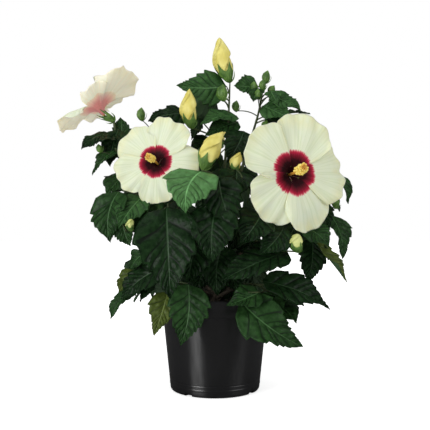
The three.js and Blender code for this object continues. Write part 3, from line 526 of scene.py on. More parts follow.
def lens_shell(top, bottom):
    """Two grids of points that share their outer edge, as one closed shell. The quads of both start at
    the same corner, so that both are halved along the same diagonal and never meet."""
    rows, columns = top.shape[:2]
    upper = np.arange(rows * columns).reshape(rows, columns)
    lower = upper.copy()
    inner = (rows - 2) * (columns - 2)
    lower[1:-1, 1:-1] = rows * columns + np.arange(inner).reshape(rows - 2, columns - 2)
    points = np.concatenate([top.reshape(-1, 3), bottom[1:-1, 1:-1].reshape(-1, 3)])
    above, below = (
        np.stack([grid[:-1, :-1], grid[1:, :-1], grid[1:, 1:], grid[:-1, 1:]], -1).reshape(-1, 4)
        for grid in (upper, lower))
    return points, [above, below[:, [0, 3, 2, 1]]]


def turned(profile, around, change=None):
    """A profile of radius and height turned about +Z, from its first point on the axis to its last."""
    radius, height = np.array(profile, float).T
    angle = circle(around)
    reach = np.repeat(radius[1:-1, None], around, 1)
    level = np.repeat(height[1:-1, None], around, 1)
    if change is not None:
        reach, level = change(reach, level, angle)
    return closed_rings(rings_round(reach, angle, level), (0, 0, height[0]), (0, 0, height[-1]))


def taper(foot, tip):
    """A radius that goes evenly from foot to tip."""
    return lambda share: foot + (tip - foot) * share


def spindle(share, broadest, roundness):
    """u^a (1 - u)^b scaled to 1 where it is broadest."""
    tip_power = roundness * (1 - broadest) / broadest
    share = np.clip(share, 0, 1)
    return (share / broadest) ** roundness * ((1 - share) / (1 - broadest)) ** tip_power


def ripple(a, b, seed):
    """A smooth uneven wave over two coordinates: three sines with seeded turns and phases, within 1."""
    draw = seeded(seed)
    total = 0
    for weight, pitch in ((0.5, 1.0), (0.3, 2.1), (0.2, 4.3)):
        turn = FULL_TURN * draw()
        total = total + weight * np.sin(
            pitch * (a * math.cos(turn) + b * math.sin(turn)) + FULL_TURN * draw())
    return total


class Leaf:
    """One blade: an arc through base and tip, curled down and folded up along its midrib."""

    def __init__(self, base, tip, width, facing, curl=25, fold=8, tone="deep"):
        self.base, self.tip = np.array(base, float), np.array(tip, float)
        self.width, self.tone = width, tone
        chord = self.tip - self.base
        self.length = np.linalg.norm(chord)
        self.ahead = chord / self.length
        facing = np.array(facing, float)
        self.normal = unit(facing - self.ahead * (facing @ self.ahead))
        self.aside = np.cross(self.ahead, self.normal)
        self.curl, self.fold = math.radians(curl), math.radians(fold)
        self.arc = self.length / (2 * math.sin(self.curl / 2))
        draw = seeded(int(abs(self.base[0]) * 7 + self.base[2] * 13))
        self.twist = math.radians(30) * (draw() - 0.5)
        self.sway = 0.2 * (draw() - 0.5) * self.length

    def at(self, u, v, lift=0.0):
        """base + ahead R (sin turn + sin half curl) + normal R (cos turn - cos half curl), then the
        half-width sideways and the fold and the lift outward, both turned by a slight twist. The midrib
        sways to one side by sway 4 u (1 - u)."""
        turn = self.curl * (u - 0.5)
        half = self.width / 2 * spindle(u, LEAF_BROADEST, LEAF_ROUNDNESS) * v
        forward = self.arc * (np.sin(turn) + math.sin(self.curl / 2))
        upward = self.arc * (np.cos(turn) - math.cos(self.curl / 2))
        rise = np.abs(half) * math.sin(self.fold) + lift
        half, twist = half * math.cos(self.fold), self.twist * (u - 0.4)
        beside = half * np.cos(twist) - rise * np.sin(twist) + self.sway * 4 * u * (1 - u)
        rise = half * np.sin(twist) + rise * np.cos(twist)
        parts = (forward + rise * np.sin(turn), upward + rise * np.cos(turn), beside)
        shape = np.broadcast(*parts).shape
        forward, upward, beside = (np.broadcast_to(part, shape)[..., None] for part in parts)
        return self.base + self.ahead * forward + self.normal * upward + self.aside * beside

    def samples(self):
        """A few points of the midrib and the margins, by which its place is judged."""
        u = np.array([0.1, 0.3, 0.5, 0.7, 0.95])[:, None]
        return self.at(u, np.array([[-1.0, 0.0, 1.0]])).reshape(-1, 3)

    def blade(self):
        """Points all over the blade, to measure its distance to another."""
        u = np.linspace(0.1, 0.98, 10)[:, None]
        return self.at(u, np.array([[-0.95, -0.5, 0.0, 0.5, 0.95]])).reshape(-1, 3)


def leaf_blade(leaf, grid, seed):
    """The blade as a closed shell whose rows run along its side veins: u = r + slant half(r) |v| / length.
    Between two veins it rises as |sin(pi p)|^0.7, with p = r veins, and it sinks to a groove along the
    midrib. Its margins wave, and each side vein ends in a tooth. Gives its points, its faces and the kind
    of each face: 0 the upper side, 1 the midrib, 2 the sunken strip along a side vein, coloured darker as
    painted shade, 3 the underside."""
    veins, stations, columns = grid
    draw = seeded(seed)
    phases = [FULL_TURN * draw() for _ in range(4)]
    v = np.concatenate([-columns[::-1], [0], columns])[None, :]
    p = (np.arange(veins)[:, None] + stations).ravel()[1:, None]
    sway = 0.16 * np.sin(FULL_TURN * p / 3.1 + phases[0])
    r = ((p + sway * np.clip(p, 0, 1) * np.clip(veins - p, 0, 1)) / veins) ** 0.88
    half = leaf.width / 2 * spindle(r, LEAF_BROADEST, LEAF_ROUNDNESS)
    across = half * np.abs(v)
    shift = np.where(v > 0, 0.4 / veins, 0) * np.clip(np.abs(v) / 0.3, 0, 1) * np.clip((1 - r) * 6, 0, 1)
    u = r + VEIN_SLANT * across / leaf.length + shift * np.clip(r * 6, 0, 1)

    cross_veins = np.sin(across / 1.3 + 2.4 * np.floor(p))
    cross_veins = cross_veins + 0.6 * np.sin(across / 0.83 + 1.7 * np.floor(2 * p))
    pillow = np.abs(np.sin(math.pi * p)) ** 0.7 * (1 + 0.36 * cross_veins)
    inward = np.clip(np.abs(v) / 0.2, 0, 1) * (1 - np.abs(v) ** 6)
    size = min(1, leaf.width / 60)
    lift = QUILTING * size * (pillow - 0.5) * inward - 1.2 * size * np.exp(-(across / 2.2) ** 2)
    right, left = np.sin(FULL_TURN * 1.6 * u + phases[1]), np.sin(FULL_TURN * 1.3 * u + phases[2])
    lift = lift + 0.17 * half * np.where(v > 0, right, left) * v ** 2
    lift = lift + 0.03 * half * np.sin(FULL_TURN * 5 * u + phases[3]) * np.abs(v) ** 5

    tooth = p % 1.0
    saw = np.where(tooth < 0.02, 1, (tooth - 0.08) / 0.92)
    window = np.clip((r - 0.05) / 0.1, 0, 1) * np.clip((1 - r) / 0.12, 0, 1)
    reach = v * (1 + LEAF_TEETH * (saw - 0.5) * window * np.abs(v) ** 5)
    thick = 0.5 * LEAF_THICKNESS * (1 - np.abs(v) ** 8) * np.ones_like(r)
    top = leaf.at(u, reach, lift + thick)
    bottom = leaf.at(u, reach, lift - thick)
    points, faces = closed_rings(np.concatenate([top, bottom[:, -2:0:-1]], 1), leaf.base, leaf.tip)

    cells = v.shape[1] - 1
    place = np.arange(2 * cells)
    # The rows beside each side vein take the slot of painted shade.
    vein_shade_rows = np.diff(p[:, 0]) < 0.1
    kind = np.where(vein_shade_rows[:, None], 2, 0) * np.ones_like(place)
    kind[:, [0, cells - 1]] = 0
    kind[:, [cells // 2 - 1, cells // 2]] = 1
    kind[:, place >= cells] = 3
    kinds = [kind.ravel(), kind[0], kind[-1]]
    # The underside's quads start a corner later, so that both sides are halved along the same diagonal.
    under = kinds[0] == 3
    faces[0][under] = np.roll(faces[0][under], 1, axis=1)
    return points, faces, kinds


def stalk_curve(root, heading, end):
    """From a root, first along what carries it, then to its end."""
    span = np.linalg.norm(end - root)
    knee = root + (end - root) * 0.45 + heading * span * 0.2
    return Bend(root, knee, end)


# The plant's limbs
trunk = Bend((0, 0, SOIL_TOP + GAP), (0, 0, SOIL_TOP + 22), (-4, 3, 180), TRUNK_TIP)


def trunk_radius(share):
    """An even taper and a flare that dies away up the foot."""
    straight = TRUNK_FOOT_RADIUS + (TRUNK_TIP_RADIUS - TRUNK_FOOT_RADIUS) * share
    return straight + TRUNK_FLARE * np.exp(-9 * share)


def grow_limbs(mass, index):
    """A mass's bough, from the trunk to its joint, and its stem, from there to its tip."""
    joint, tip = np.array(mass["joint"], float), np.array(mass["tip"], float)
    foot = trunk.along(mass["fork"])[0]
    away, reach = joint - foot, np.linalg.norm(tip - joint)
    span = np.linalg.norm(away)
    heading = unit(unit(tip - joint) + 0.6 * unit(away))
    start = unit(np.array([away[0], away[1], max(away[2], 0.25 * span)]))
    if mass["fork"] == 1:
        start = trunk.heading(1)[0]
    mass["bough"] = Bend(foot, foot + start * span * 0.35, joint - heading * span * 0.3, joint)
    mass["stem"] = Bend(joint, joint + heading * reach * 0.35, tip - UP * reach * 0.25, tip)
    mass["seed"] = MASS_SEEDS * (index + 1)
    mass.update(axes=[mass["stem"]], roots=[], grown=[], stalks=[])


for order, mass in enumerate(MASSES):
    grow_limbs(mass, order)
MASS_NAMED = {mass["name"]: mass for mass in MASSES}
LIMBS = [trunk] + [mass["bough"] for mass in MASSES] + [mass["stem"] for mass in MASSES]
LIMB_POINTS = np.concatenate([limb.along(np.linspace(0, 1, 17)) for limb in LIMBS])


def in_space(mass, points):
    """Whether all points lie in a mass's ellipsoid."""
    away = (points - np.array(mass["centre"])) / np.array(mass["reach"])
    return bool((np.linalg.norm(away, axis=1) < 1).all())


def front_view(points):
    """Where points show in the front view, moved along the line of sight to depth 0."""
    scale = -EYE[1] / (points[:, 1] - EYE[1])
    return points[:, 0] * scale, EYE[2] + (points[:, 2] - EYE[2]) * scale


def inside_outline(points):
    """Whether all points show inside the crown's edges and outside its gaps."""
    x, z = front_view(points)
    heights, left, right = CROWN_EDGES.T
    if z.min() < heights[0] or z.max() > heights[-1]:
        return False
    if (x < np.interp(z, heights, left)).any() or (x > np.interp(z, heights, right)).any():
        return False
    return all((np.hypot(x - gx, z - gz) > radius).all() for gx, gz, radius in SKY_GAPS)


def grow_twigs(mass):
    """Twigs branch from the stem by the golden angle, and one that would leave the space is skipped."""
    for i in range(mass["twigs"]):
        draw = seeded(mass["seed"] + TWIG_SEEDS + i)
        share = 0.2 + 0.6 * (i + draw()) / mass["twigs"]
        foot, along = mass["stem"].spot(share)
        side = sideways(along, GOLDEN_ANGLE * i + FULL_TURN * seeded(mass["seed"])())
        length = 34 + 26 * draw()
        tip = foot + along * length * 0.45 + side * length * 0.85
        knee = foot + side * length * 0.5 + along * length * 0.1
        clear = np.linalg.norm(LIMB_POINTS - tip, axis=1).min() > 3 * LIMB_CLEARANCE
        if in_space(mass, tip[None]) and inside_outline(tip[None]) and clear:
            mass["axes"].append(Bend(foot, knee, tip))


def stalk_root(mass, end):
    """The point on a mass's stem or twigs that a stalk comes from: near its end, lower, not yet used."""
    shares = np.arange(0.04, 1, 0.04)
    best = None
    for curve in mass["axes"]:
        points, headings = curve.along(shares), curve.heading(shares)
        cost = np.linalg.norm(points - end, axis=1) + 1.2 * np.maximum(0, points[:, 2] + 8 - end[2])
        for used in mass["roots"]:
            cost += 20 * (np.linalg.norm(points - used, axis=1) < ROOT_SPACING)
        k = int(np.argmin(cost))
        if best is None or cost[k] < best[0]:
            best = (cost[k], points[k], headings[k])
    mass["roots"].append(best[1])
    return best[1], best[2]


def petal_profile(flower, u):
    """Radius, height and slope at u along a petal: its slope turns from THROAT_SLOPE_DEG to its flare."""
    fine = np.linspace(0, PETAL_LONGEST, 185)
    opening = np.clip(fine / PETAL_OPENING, 0, 1)
    opening = opening ** 2 * (3 - 2 * opening)
    slope = np.radians(THROAT_SLOPE_DEG + (flower["flare"] - THROAT_SLOPE_DEG) * opening
                       + MARGIN_DROOP_DEG * fine)
    step = flower["radius"] * PETAL_RUN * PETAL_LONGEST / (len(fine) - 1)
    outward = 1.5 + np.concatenate([[0], np.cumsum(np.sin(slope[:-1]) * step)])
    upward = np.concatenate([[0], np.cumsum(np.cos(slope[:-1]) * step)])
    return (np.interp(u, fine, outward), np.interp(u, fine, upward), np.interp(u, fine, slope))


def aim_flower(flower):
    """A flower's own axes, its petals' foot, its size and the place and way of its calyx."""
    flower["axis"] = unit(np.array(flower["faces"], float))
    across = np.array([1.0, 0.0, 0.0])
    flower["across"] = unit(across - flower["axis"] * flower["axis"][0])
    upright = np.cross(flower["across"], flower["axis"])
    flower["upright"] = upright if upright[2] > 0 else -upright
    flower["foot"] = np.array(flower["throat"]) - flower["axis"] * PETAL_DEPTH * flower["radius"]
    flower["size"] = flower["radius"] / USUAL_RADIUS
    away = flower["axis"] * -16 * flower["size"]
    if flower["calyx_from"]:
        away = np.array(flower["calyx_from"], float)
    flower["calyx_foot"] = flower["foot"] + away
    flower["calyx_axis"] = -unit(away)


def round_flower(flower, angle):
    """The direction at an angle round a flower's axis."""
    return flower["across"] * np.cos(angle)[..., None] + flower["upright"] * np.sin(angle)[..., None]


def near_petals(flower, points):
    """Whether any point lies by the bowl of a flower's petals, or by the calyx and stalk behind it."""
    away = points - flower["foot"]
    height = away @ flower["axis"]
    radius = np.linalg.norm(away - height[:, None] * flower["axis"], axis=1)
    bowl = PETAL_DEPTH * flower["radius"] * np.sqrt(np.minimum(1, radius / flower["radius"]))
    behind = (radius < 0.2 * flower["radius"]) & (height > -40)
    touching = (np.abs(height - bowl) < PETAL_CLEARANCE) | behind
    return bool((touching & (radius < flower["radius"] + PETAL_CLEARANCE)).any())


def seeded_leaf(mass, index):
    """A stalked leaf by the seeded rule: round the stem or twig by the golden angle, drooping outward."""
    draw = seeded(mass["seed"] + index)
    curve = mass["axes"][index % len(mass["axes"])]
    share = 0.1 + 0.88 * draw()
    root, along = curve.spot(share)
    side = sideways(along, GOLDEN_ANGLE * index + 0.5 * draw())
    stalk_length = 20 + 22 * draw()
    base = root + side * stalk_length * 0.85 + UP * stalk_length * 0.4
    outward = unit(np.array([side[0] + 0.012 * base[0], side[1] + 0.012 * base[1], 0]))
    droop = math.radians(12 + 52 * draw())
    length = (60 + 32 * draw()) * mass["scale"]
    tip = base + outward * math.cos(droop) * length - UP * math.sin(droop) * length
    facing = UP * 0.6 + outward * 0.8 + sideways(UP, FULL_TURN * draw()) * 0.35
    width = length * (0.72 + 0.14 * draw())
    curl, fold = 22 + 26 * draw(), 4 + 8 * draw()
    choice = draw()
    for tone, (_, _, share_taken) in LEAF_TONES.items():
        choice -= share_taken
        if choice < 0:
            break
    return Leaf(base, tip, width, facing, curl, fold, tone), root, along


grown = []
shown_samples = []


def leaf_fits(mass, leaf):
    """Whether a leaf keeps to its space, inside the crown, and clear of limbs, petals, pot and leaves,
    and doesn't hide one of the placed leaves from the front."""
    samples = leaf.samples()
    if not in_space(mass, samples) or not inside_outline(samples):
        return False
    beside_pot = np.hypot(samples[:, 0], samples[:, 1]) > POT_RIM_RADIUS + POT_CLEARANCE
    if not (beside_pot | (samples[:, 2] > POT_HEIGHT + POT_CLEARANCE)).all():
        return False
    if np.linalg.norm(samples[3:, None] - LIMB_POINTS, axis=2).min() < LIMB_CLEARANCE:
        return False
    if any(near_petals(flower, samples) for flower in FLOWERS):
        return False
    middles = np.array([other.at(LEAF_MIDDLE, 0.0) for other in grown])
    apart = np.linalg.norm(middles - leaf.at(LEAF_MIDDLE, 0.0), axis=1)
    if apart.min() < LEAF_SPACING:
        return False
    near = [other.kept_blade for other, away in zip(grown, apart)
            if away < 0.8 * (leaf.length + other.length)]
    if near:
        between = leaf.blade()[:, None] - np.concatenate(near)
        if np.linalg.norm(between, axis=2).min() < BLADE_CLEARANCE:
            return False
    shown = np.concatenate(shown_samples)
    x, z = front_view(samples)
    shown_x, shown_z = front_view(shown)
    over = np.hypot(x[:, None] - shown_x, z[:, None] - shown_z) < VIEW_CLEARANCE
    return not (over & (samples[:, 1][:, None] < shown[:, 1] + 2)).any()


def keep_leaf(mass, leaf, root, heading, placed):
    """Adds a leaf and its stalk to a mass. The placed leaves in front are kept in view."""
    leaf.kept_blade = leaf.blade()
    grown.append(leaf)
    if placed and leaf.base[1] < SHOWN_DEPTH:
        shown_samples.append(leaf.samples())
    mass["grown"].append((leaf, PLACED_GRID if placed else SEEDED_GRID))
    mass["stalks"].append((stalk_curve(root, heading, leaf.base), PETIOLE_RADIUS))


def grow_flower_stalk(flower):
    """Aims a flower, grows its stalk, and keeps its disc clear in the front view."""
    aim_flower(flower)
    mass = MASS_NAMED[flower["mass"]]
    end = flower["calyx_foot"]
    if flower["calyx_from"]:
        root, heading = mass["stem"].spot(1)
    else:
        root, heading = stalk_root(mass, end)
    flower["stalk"] = stalk_curve(root, heading, end + flower["calyx_axis"] * 3)
    ring = np.radians(np.arange(0, 360, 15))
    for reach in (0.35, 0.65, 0.95):
        rim = round_flower(flower, ring)
        shown_samples.append(np.array(flower["throat"]) + rim * reach * flower["radius"])


def grow_placed(mass):
    """A mass's twigs, the leaves that the photo shows, and the stalks of its buds."""
    grow_twigs(mass)
    for row in PLACED.get(mass["name"], []):
        leaf = Leaf(*row)
        root, heading = stalk_root(mass, leaf.base)
        keep_leaf(mass, leaf, root, heading, True)
    for foot, tip, radius, _ in BUDS.get(mass["name"], []):
        foot, tip = np.array(foot, float), np.array(tip, float)
        root, heading = stalk_root(mass, foot)
        seat = foot + unit(tip - foot) * 2
        mass["stalks"].append((stalk_curve(root, heading, seat), 1.2 if radius > 8 else 0.8))
        shown_samples.append(foot + (tip - foot) * np.linspace(0, 1, 5)[:, None])


def grow_seeded(mass):
    """The seeded leaves, each kept if it fits, until the mass has its number."""
    count = 0
    for index in range(LEAF_TRIES):
        if count >= mass["leaves"]:
            break
        leaf, root, heading = seeded_leaf(mass, index)
        if leaf_fits(mass, leaf):
            keep_leaf(mass, leaf, root, heading, False)
            count += 1


# Materials


def add_node(tree, kind, values=None, **settings):
    """A shader node with its settings. A value is put on its socket, or linked to it if it is an output."""
    node = tree.nodes.new("ShaderNode" + kind)
    for key, setting in settings.items():
        setattr(node, key, setting)
    for key, value in (values or {}).items():
        if isinstance(value, bpy.types.NodeSocket):
            tree.links.new(value, node.inputs[key])
        else:
            node.inputs[key].default_value = value
    return node


def node_group(name, inputs, outputs):
    """A shader node group: its tree, what its entry gives and what it puts out."""
    tree = bpy.data.node_groups.new(name, "ShaderNodeTree")
    for label, value in inputs.items():
        kind = "NodeSocketFloat" if isinstance(value, float) else "NodeSocketColor"
        socket = tree.interface.new_socket(label, in_out="INPUT", socket_type=kind)
        socket.default_value = value
    for label, kind in outputs.items():
        tree.interface.new_socket(label, in_out="OUTPUT", socket_type=kind)
    return tree, tree.nodes.new("NodeGroupInput").outputs, tree.nodes.new("NodeGroupOutput").inputs


def mottle_group():
    """Mottle: two colours mixed by soft noise on the object's own coordinates, and a fine height."""
    tree, entry, leave = node_group(
        "Mottle", {"Low Colour": (0.1, 0.1, 0.1, 1), "High Colour": (0.3, 0.3, 0.3, 1),
                   "Patch Scale": 60.0, "Grain Scale": 900.0},
        {"Colour": "NodeSocketColor", "Height": "NodeSocketFloat"})
    place = add_node(tree, "TexCoord").outputs["Object"]
    patches = add_node(tree, "TexNoise", {
        "Vector": place, "Scale": entry["Patch Scale"], "Detail": 3.0})
    grain = add_node(tree, "TexNoise", {
        "Vector": place, "Scale": entry["Grain Scale"], "Detail": 2.0})
    spread = add_node(tree, "MapRange", {
        "Value": patches.outputs["Fac"], "From Min": 0.32, "From Max": 0.68})
    mix = add_node(tree, "Mix", {
        "Factor": spread.outputs["Result"], "A": entry["Low Colour"], "B": entry["High Colour"],
    }, data_type="RGBA")
    tree.links.new(mix.outputs["Result"], leave["Colour"])
    tree.links.new(grain.outputs["Fac"], leave["Height"])
    return tree


def streaks_group():
    """Streaks: fine lines that run out along a petal, from its place round the flower and its reach."""
    tree, entry, leave = node_group(
        "Streaks", {"Round": 0.0, "Reach": 0.0, "Fineness": 30.0, "Length": 1.5},
        {"Mask": "NodeSocketFloat"})
    wide, far = (
        add_node(tree, "Math", {0: entry[place], 1: entry[factor]}, operation="MULTIPLY")
        for place, factor in (("Round", "Fineness"), ("Reach", "Length")))
    spot = add_node(tree, "CombineXYZ", {"X": wide.outputs[0], "Y": far.outputs[0]})
    noise = add_node(tree, "TexNoise", {
        "Vector": spot.outputs[0], "Scale": 1.0, "Detail": 3.0})
    tree.links.new(noise.outputs["Fac"], leave["Mask"])
    return tree


MOTTLE = mottle_group()
STREAKS = streaks_group()


def new_material(name, roughness, **sockets):
    """A material with its node tree and its shader, whose sockets take the values named."""
    material = bpy.data.materials.new(name)
    material.use_nodes = True
    shader = material.node_tree.nodes["Principled BSDF"]
    shader.inputs["Roughness"].default_value = roughness
    for key, value in sockets.items():
        shader.inputs[key.replace("_", " ")].default_value = value
    return material, material.node_tree, shader


def add_relief(tree, shader, height, strength, depth):
    """A bump on the shader, from a height."""
    relief = add_node(tree, "Bump", {"Height": height, "Strength": strength, "Distance": depth})
    tree.links.new(relief.outputs["Normal"], shader.inputs["Normal"])


def mottled(name, low, high, roughness, patch=60.0, grain=900.0, bump=0.2, depth=0.0003, **sockets):
    """A material of two mottled colours with a fine grain."""
    material, tree, shader = new_material(name, roughness, **sockets)
    mottle = add_node(tree, "Group", node_tree=MOTTLE)
    for key, value in (("Low Colour", (*low, 1)), ("High Colour", (*high, 1)),
                       ("Patch Scale", patch), ("Grain Scale", grain)):
        mottle.inputs[key].default_value = value
    tree.links.new(mottle.outputs["Colour"], shader.inputs["Base Color"])
    add_relief(tree, shader, mottle.outputs["Height"], bump, depth)
    return material


def ramp(tree, stops):
    """A colour ramp with a colour at each place."""
    node = add_node(tree, "ValToRGB")
    elements = node.color_ramp.elements
    while len(elements) < len(stops):
        elements.new(0.5)
    for element, (place, colour) in zip(elements, stops):
        element.position = place
        element.color = (*colour, 1)
    return node


def petal_material(name, eye_stops, eye_edge, cream, margin, streak_colour, glow=0.0):
    """Cream petals with fine streaks and yellower margins round a feathered eye. Its place on the petal
    comes from the mesh: reach, the distance from the flower's axis over its radius, side, from -1 to 1
    across the petal, and round, the place round the flower. The glow is painted light that comes through."""
    material, tree, shader = new_material(
        name, 0.6, Specular_IOR_Level=0.15, Subsurface_Weight=0.45, Subsurface_Scale=0.003,
        Subsurface_Radius=(1.0, 0.85, 0.6), Emission_Color=(1.0, 0.9, 0.68, 1.0), Emission_Strength=glow)
    reach, side, around = (
        add_node(tree, "Attribute", attribute_name=key).outputs["Fac"]
        for key in ("reach", "side", "round"))

    def streaks(fineness, length):
        values = {"Round": around, "Reach": reach, "Fineness": fineness, "Length": length}
        return add_node(tree, "Group", values, node_tree=STREAKS).outputs["Mask"]

    def maths(operation, first, second):
        return add_node(tree, "Math", {0: first, 1: second}, operation=operation).outputs[0]

    def stretch(value, low, high):
        values = {"Value": value, "From Min": low, "From Max": high}
        node = add_node(tree, "MapRange", values, interpolation_type="SMOOTHSTEP")
        return node.outputs["Result"]

    def blend(factor, first, second):
        values = {"Factor": factor, "A": first, "B": second}
        return add_node(tree, "Mix", values, data_type="RGBA").outputs["Result"]

    fine, broad = streaks(15.0, 0.6), streaks(3.0, 2.0)
    edge = maths("MULTIPLY", side, side)
    edge = maths("MULTIPLY", edge, edge)
    feathered = maths("ADD", reach, maths("MULTIPLY", maths("SUBTRACT", fine, 0.5), 0.12))
    feathered = maths("ADD", feathered, maths("MULTIPLY", edge, 0.055))
    eye = ramp(tree, eye_stops)
    tree.links.new(feathered, eye.inputs["Fac"])
    rim = maths("ADD", stretch(reach, 0.72, 1.02), maths("MULTIPLY", stretch(edge, 0.35, 1.0), 0.7))
    rim = maths("MULTIPLY", rim, maths("ADD", stretch(broad, 0.35, 0.65), 0.25))
    rim = maths("MINIMUM", maths("MULTIPLY", rim, 0.45), 1.0)
    streaked = maths("MULTIPLY", stretch(fine, 0.42, 0.68), 0.7)
    field = blend(rim, blend(streaked, (*cream, 1), (*streak_colour, 1)), (*margin, 1))
    outside = stretch(feathered, eye_edge - 0.012, eye_edge + 0.012)
    tree.links.new(blend(outside, eye.outputs["Color"], field), shader.inputs["Base Color"])
    add_relief(tree, shader, fine, 0.3, 0.0005)
    return material


def brush(material):
    """Turns a material's anisotropic shine round +Z, and makes its roughness uneven in upright streaks."""
    tree = material.node_tree
    shader = tree.nodes["Principled BSDF"]
    place = add_node(tree, "TexCoord").outputs["Object"]
    tall = add_node(tree, "Mapping", {"Vector": place, "Scale": (1.0, 1.0, 0.04)})
    streaks = add_node(tree, "TexNoise", {"Vector": tall.outputs["Vector"], "Scale": 330.0})
    uneven = add_node(tree, "MapRange", {
        "Value": streaks.outputs["Fac"], "From Min": 0.35, "From Max": 0.65,
        "To Min": 0.29, "To Max": 0.36})
    tangent = add_node(tree, "Tangent", direction_type="RADIAL", axis="Z")
    tree.links.new(uneven.outputs["Result"], shader.inputs["Roughness"])
    tree.links.new(tangent.outputs["Tangent"], shader.inputs["Tangent"])


LEAF_MATERIALS = [
    mottled(f"leaf_{tone}", low, high, 0.33, patch=110.0, grain=170.0, bump=0.8, depth=0.0016,
            Specular_IOR_Level=0.14)
    for tone, (low, high, _) in LEAF_TONES.items()]
# Painted shade along the side veins: each tone's darker colour, darker still, on the sunken strips there.
VEIN_SHADE_MATERIALS = [
    mottled(f"leaf_vein_painted_shade_{tone}", tuple(0.6 * c for c in low), low, 0.45, Specular_IOR_Level=0.25)
    for tone, (low, high, _) in LEAF_TONES.items()]
RIB_MATERIALS = [
    mottled(f"leaf_rib_{tone}", tuple(1.3 * c for c in high), tuple(2.0 * c for c in high), 0.45)
    for tone, (_, high, _) in LEAF_TONES.items()]
UNDERSIDE = mottled("leaf_underside", (0.03, 0.07, 0.026), (0.055, 0.115, 0.045), 0.6)
GREEN_STEM = mottled("green_stem", (0.03, 0.05, 0.015), (0.07, 0.10, 0.03), 0.5, patch=90.0)
BARK = mottled("bark", (0.030, 0.024, 0.017), (0.095, 0.076, 0.050), 0.85, patch=140.0, grain=1500.0,
               bump=0.6, depth=0.0006)
SEPAL = mottled("sepal_green", (0.05, 0.13, 0.02), (0.14, 0.27, 0.05), 0.5, patch=120.0)
BUD_PETAL = mottled("bud_petal_yellow", (0.64, 0.54, 0.09), (0.86, 0.79, 0.26), 0.5, patch=45.0, bump=0.3)
BUD_PALE = mottled("bud_petal_pale", (0.54, 0.60, 0.17), (0.74, 0.76, 0.33), 0.5, patch=70.0)
COLUMN = mottled("column_orange", (0.62, 0.26, 0.03), (0.82, 0.45, 0.08), 0.45, patch=200.0)
ANTHER = mottled("anther_yellow", (0.90, 0.60, 0.07), (0.97, 0.84, 0.26), 0.7, patch=400.0)
SOIL = mottled("potting_mix", (0.008, 0.006, 0.004), (0.05, 0.034, 0.022), 0.95, patch=250.0, bump=0.8,
               depth=0.001)
POT = mottled("pot_plastic", (0.0035, 0.0036, 0.0042), (0.0052, 0.0053, 0.0062), 0.33, patch=30.0,
              grain=2500.0, bump=0.04, IOR=1.65, Specular_IOR_Level=0.9, Anisotropic=0.85,
              Anisotropic_Rotation=0.25)
# The eye's near-black core is partly its own dark maroon and partly painted shade deep in the throat.
PETAL = petal_material(
    "petal_cream",
    [(0.0, (0.012, 0.001, 0.002)), (0.23, (0.022, 0.001, 0.004)), (0.31, (0.17, 0.003, 0.016)),
     (0.37, (0.45, 0.010, 0.048)), (0.405, (0.80, 0.30, 0.33))],
    0.402, (0.78, 0.84, 0.61), (0.83, 0.79, 0.40), (0.66, 0.74, 0.48))
# The back is painted paler than the front, and glows: painted light standing in for light that comes
# through the petal.
PETAL_BACK = petal_material(
    "petal_back",
    [(0.0, (0.45, 0.06, 0.09)), (0.22, (0.66, 0.16, 0.18)), (0.34, (0.82, 0.42, 0.36)),
     (0.42, (0.86, 0.62, 0.48)), (0.5, (0.84, 0.76, 0.55))],
    0.46, (0.92, 0.89, 0.70), (0.95, 0.82, 0.50), (0.91, 0.80, 0.60), glow=0.12)


# The pieces


def make_pot():
    """The pot's profile turned about +Z: foot, rounded corner, wall with a raised and a sunk ring, the
    band under the rim, and the inside. At each drain the wall's foot is lifted clear of the ground by a
    smooth window in angle."""
    body_top = POT_RIM_RADIUS - POT_BAND_STEP - 2
    band_foot = POT_HEIGHT - POT_BAND_HEIGHT
    band = body_top + POT_BAND_STEP
    corner = POT_BASE_RADIUS + 0.7 * POT_CORNER
    slope = (body_top - corner) / (band_foot - POT_CORNER)

    def wall(height, out=0.0):
        return (corner + slope * (height - POT_CORNER) + out, height)

    def ring(levels, out):
        low, high = levels[0], levels[-1]
        ends = [wall(low - 1), wall(low - 0.3)], [wall(high + 0.3), wall(high + 1)]
        return ends[0] + [wall(level, out) for level in levels] + ends[1]

    foot = [(0, 0), (20, 0), (POT_BASE_RADIUS - DRAIN_DEPTH - 0.4, 0), (POT_BASE_RADIUS - DRAIN_DEPTH, 0),
            (POT_BASE_RADIUS - 1.2, 0), (POT_BASE_RADIUS + 0.3, 0.25)]
    foot += [(POT_BASE_RADIUS + 4.2 * math.sin(a), POT_CORNER * (1 - math.cos(a)))
             for a in np.radians([35, 60, 80])]
    side = ring((9.8, 10.2, 11.4, 11.8), 0.3) + ring((17.8, 18.6), -0.25)
    side += [wall(level) for level in (40, 70, 100, band_foot - 3, band_foot - 1.4)]
    side += [(body_top + 0.1, band_foot - 0.4), (band - 0.3, band_foot), (band, band_foot + 0.6),
             (band + 0.7, band_foot + 9)]
    rim = [(0.4, 4.5), (0, 3.8), (0, 0.9), (0.4, 0.2), (0.9, 0), (POT_WALL, 0.2), (POT_WALL + 0.1, 0.9)]
    rim = [(POT_RIM_RADIUS - inward, POT_HEIGHT - down) for inward, down in rim]
    inside = [(band - POT_WALL, band_foot + 2), (body_top - POT_WALL, band_foot - 1),
              (corner - POT_WALL, POT_CORNER + 1), (POT_BASE_RADIUS, POT_WALL), (0, POT_WALL)]

    def drains(reach, level, angle):
        first = math.radians(DRAIN_FIRST_DEG - 90)
        off = (angle - first + math.pi / 4) % (math.pi / 2) - math.pi / 4
        window = np.clip((0.5 * DRAIN_WIDTH - np.abs(off) * POT_BASE_RADIUS) / 0.9, 0, 1)
        rows = np.arange(reach.shape[0])[:, None] + 1
        under = (reach > POT_BASE_RADIUS - DRAIN_DEPTH - 0.2) & (rows < len(foot))
        return reach, np.where(under, np.maximum(level, DRAIN_HEIGHT * window), level)

    piece = Piece("nursery_pot")
    piece.add(turned(foot + side + rim + inside, 240, drains))
    return piece.finish([POT], "pot", "pot")


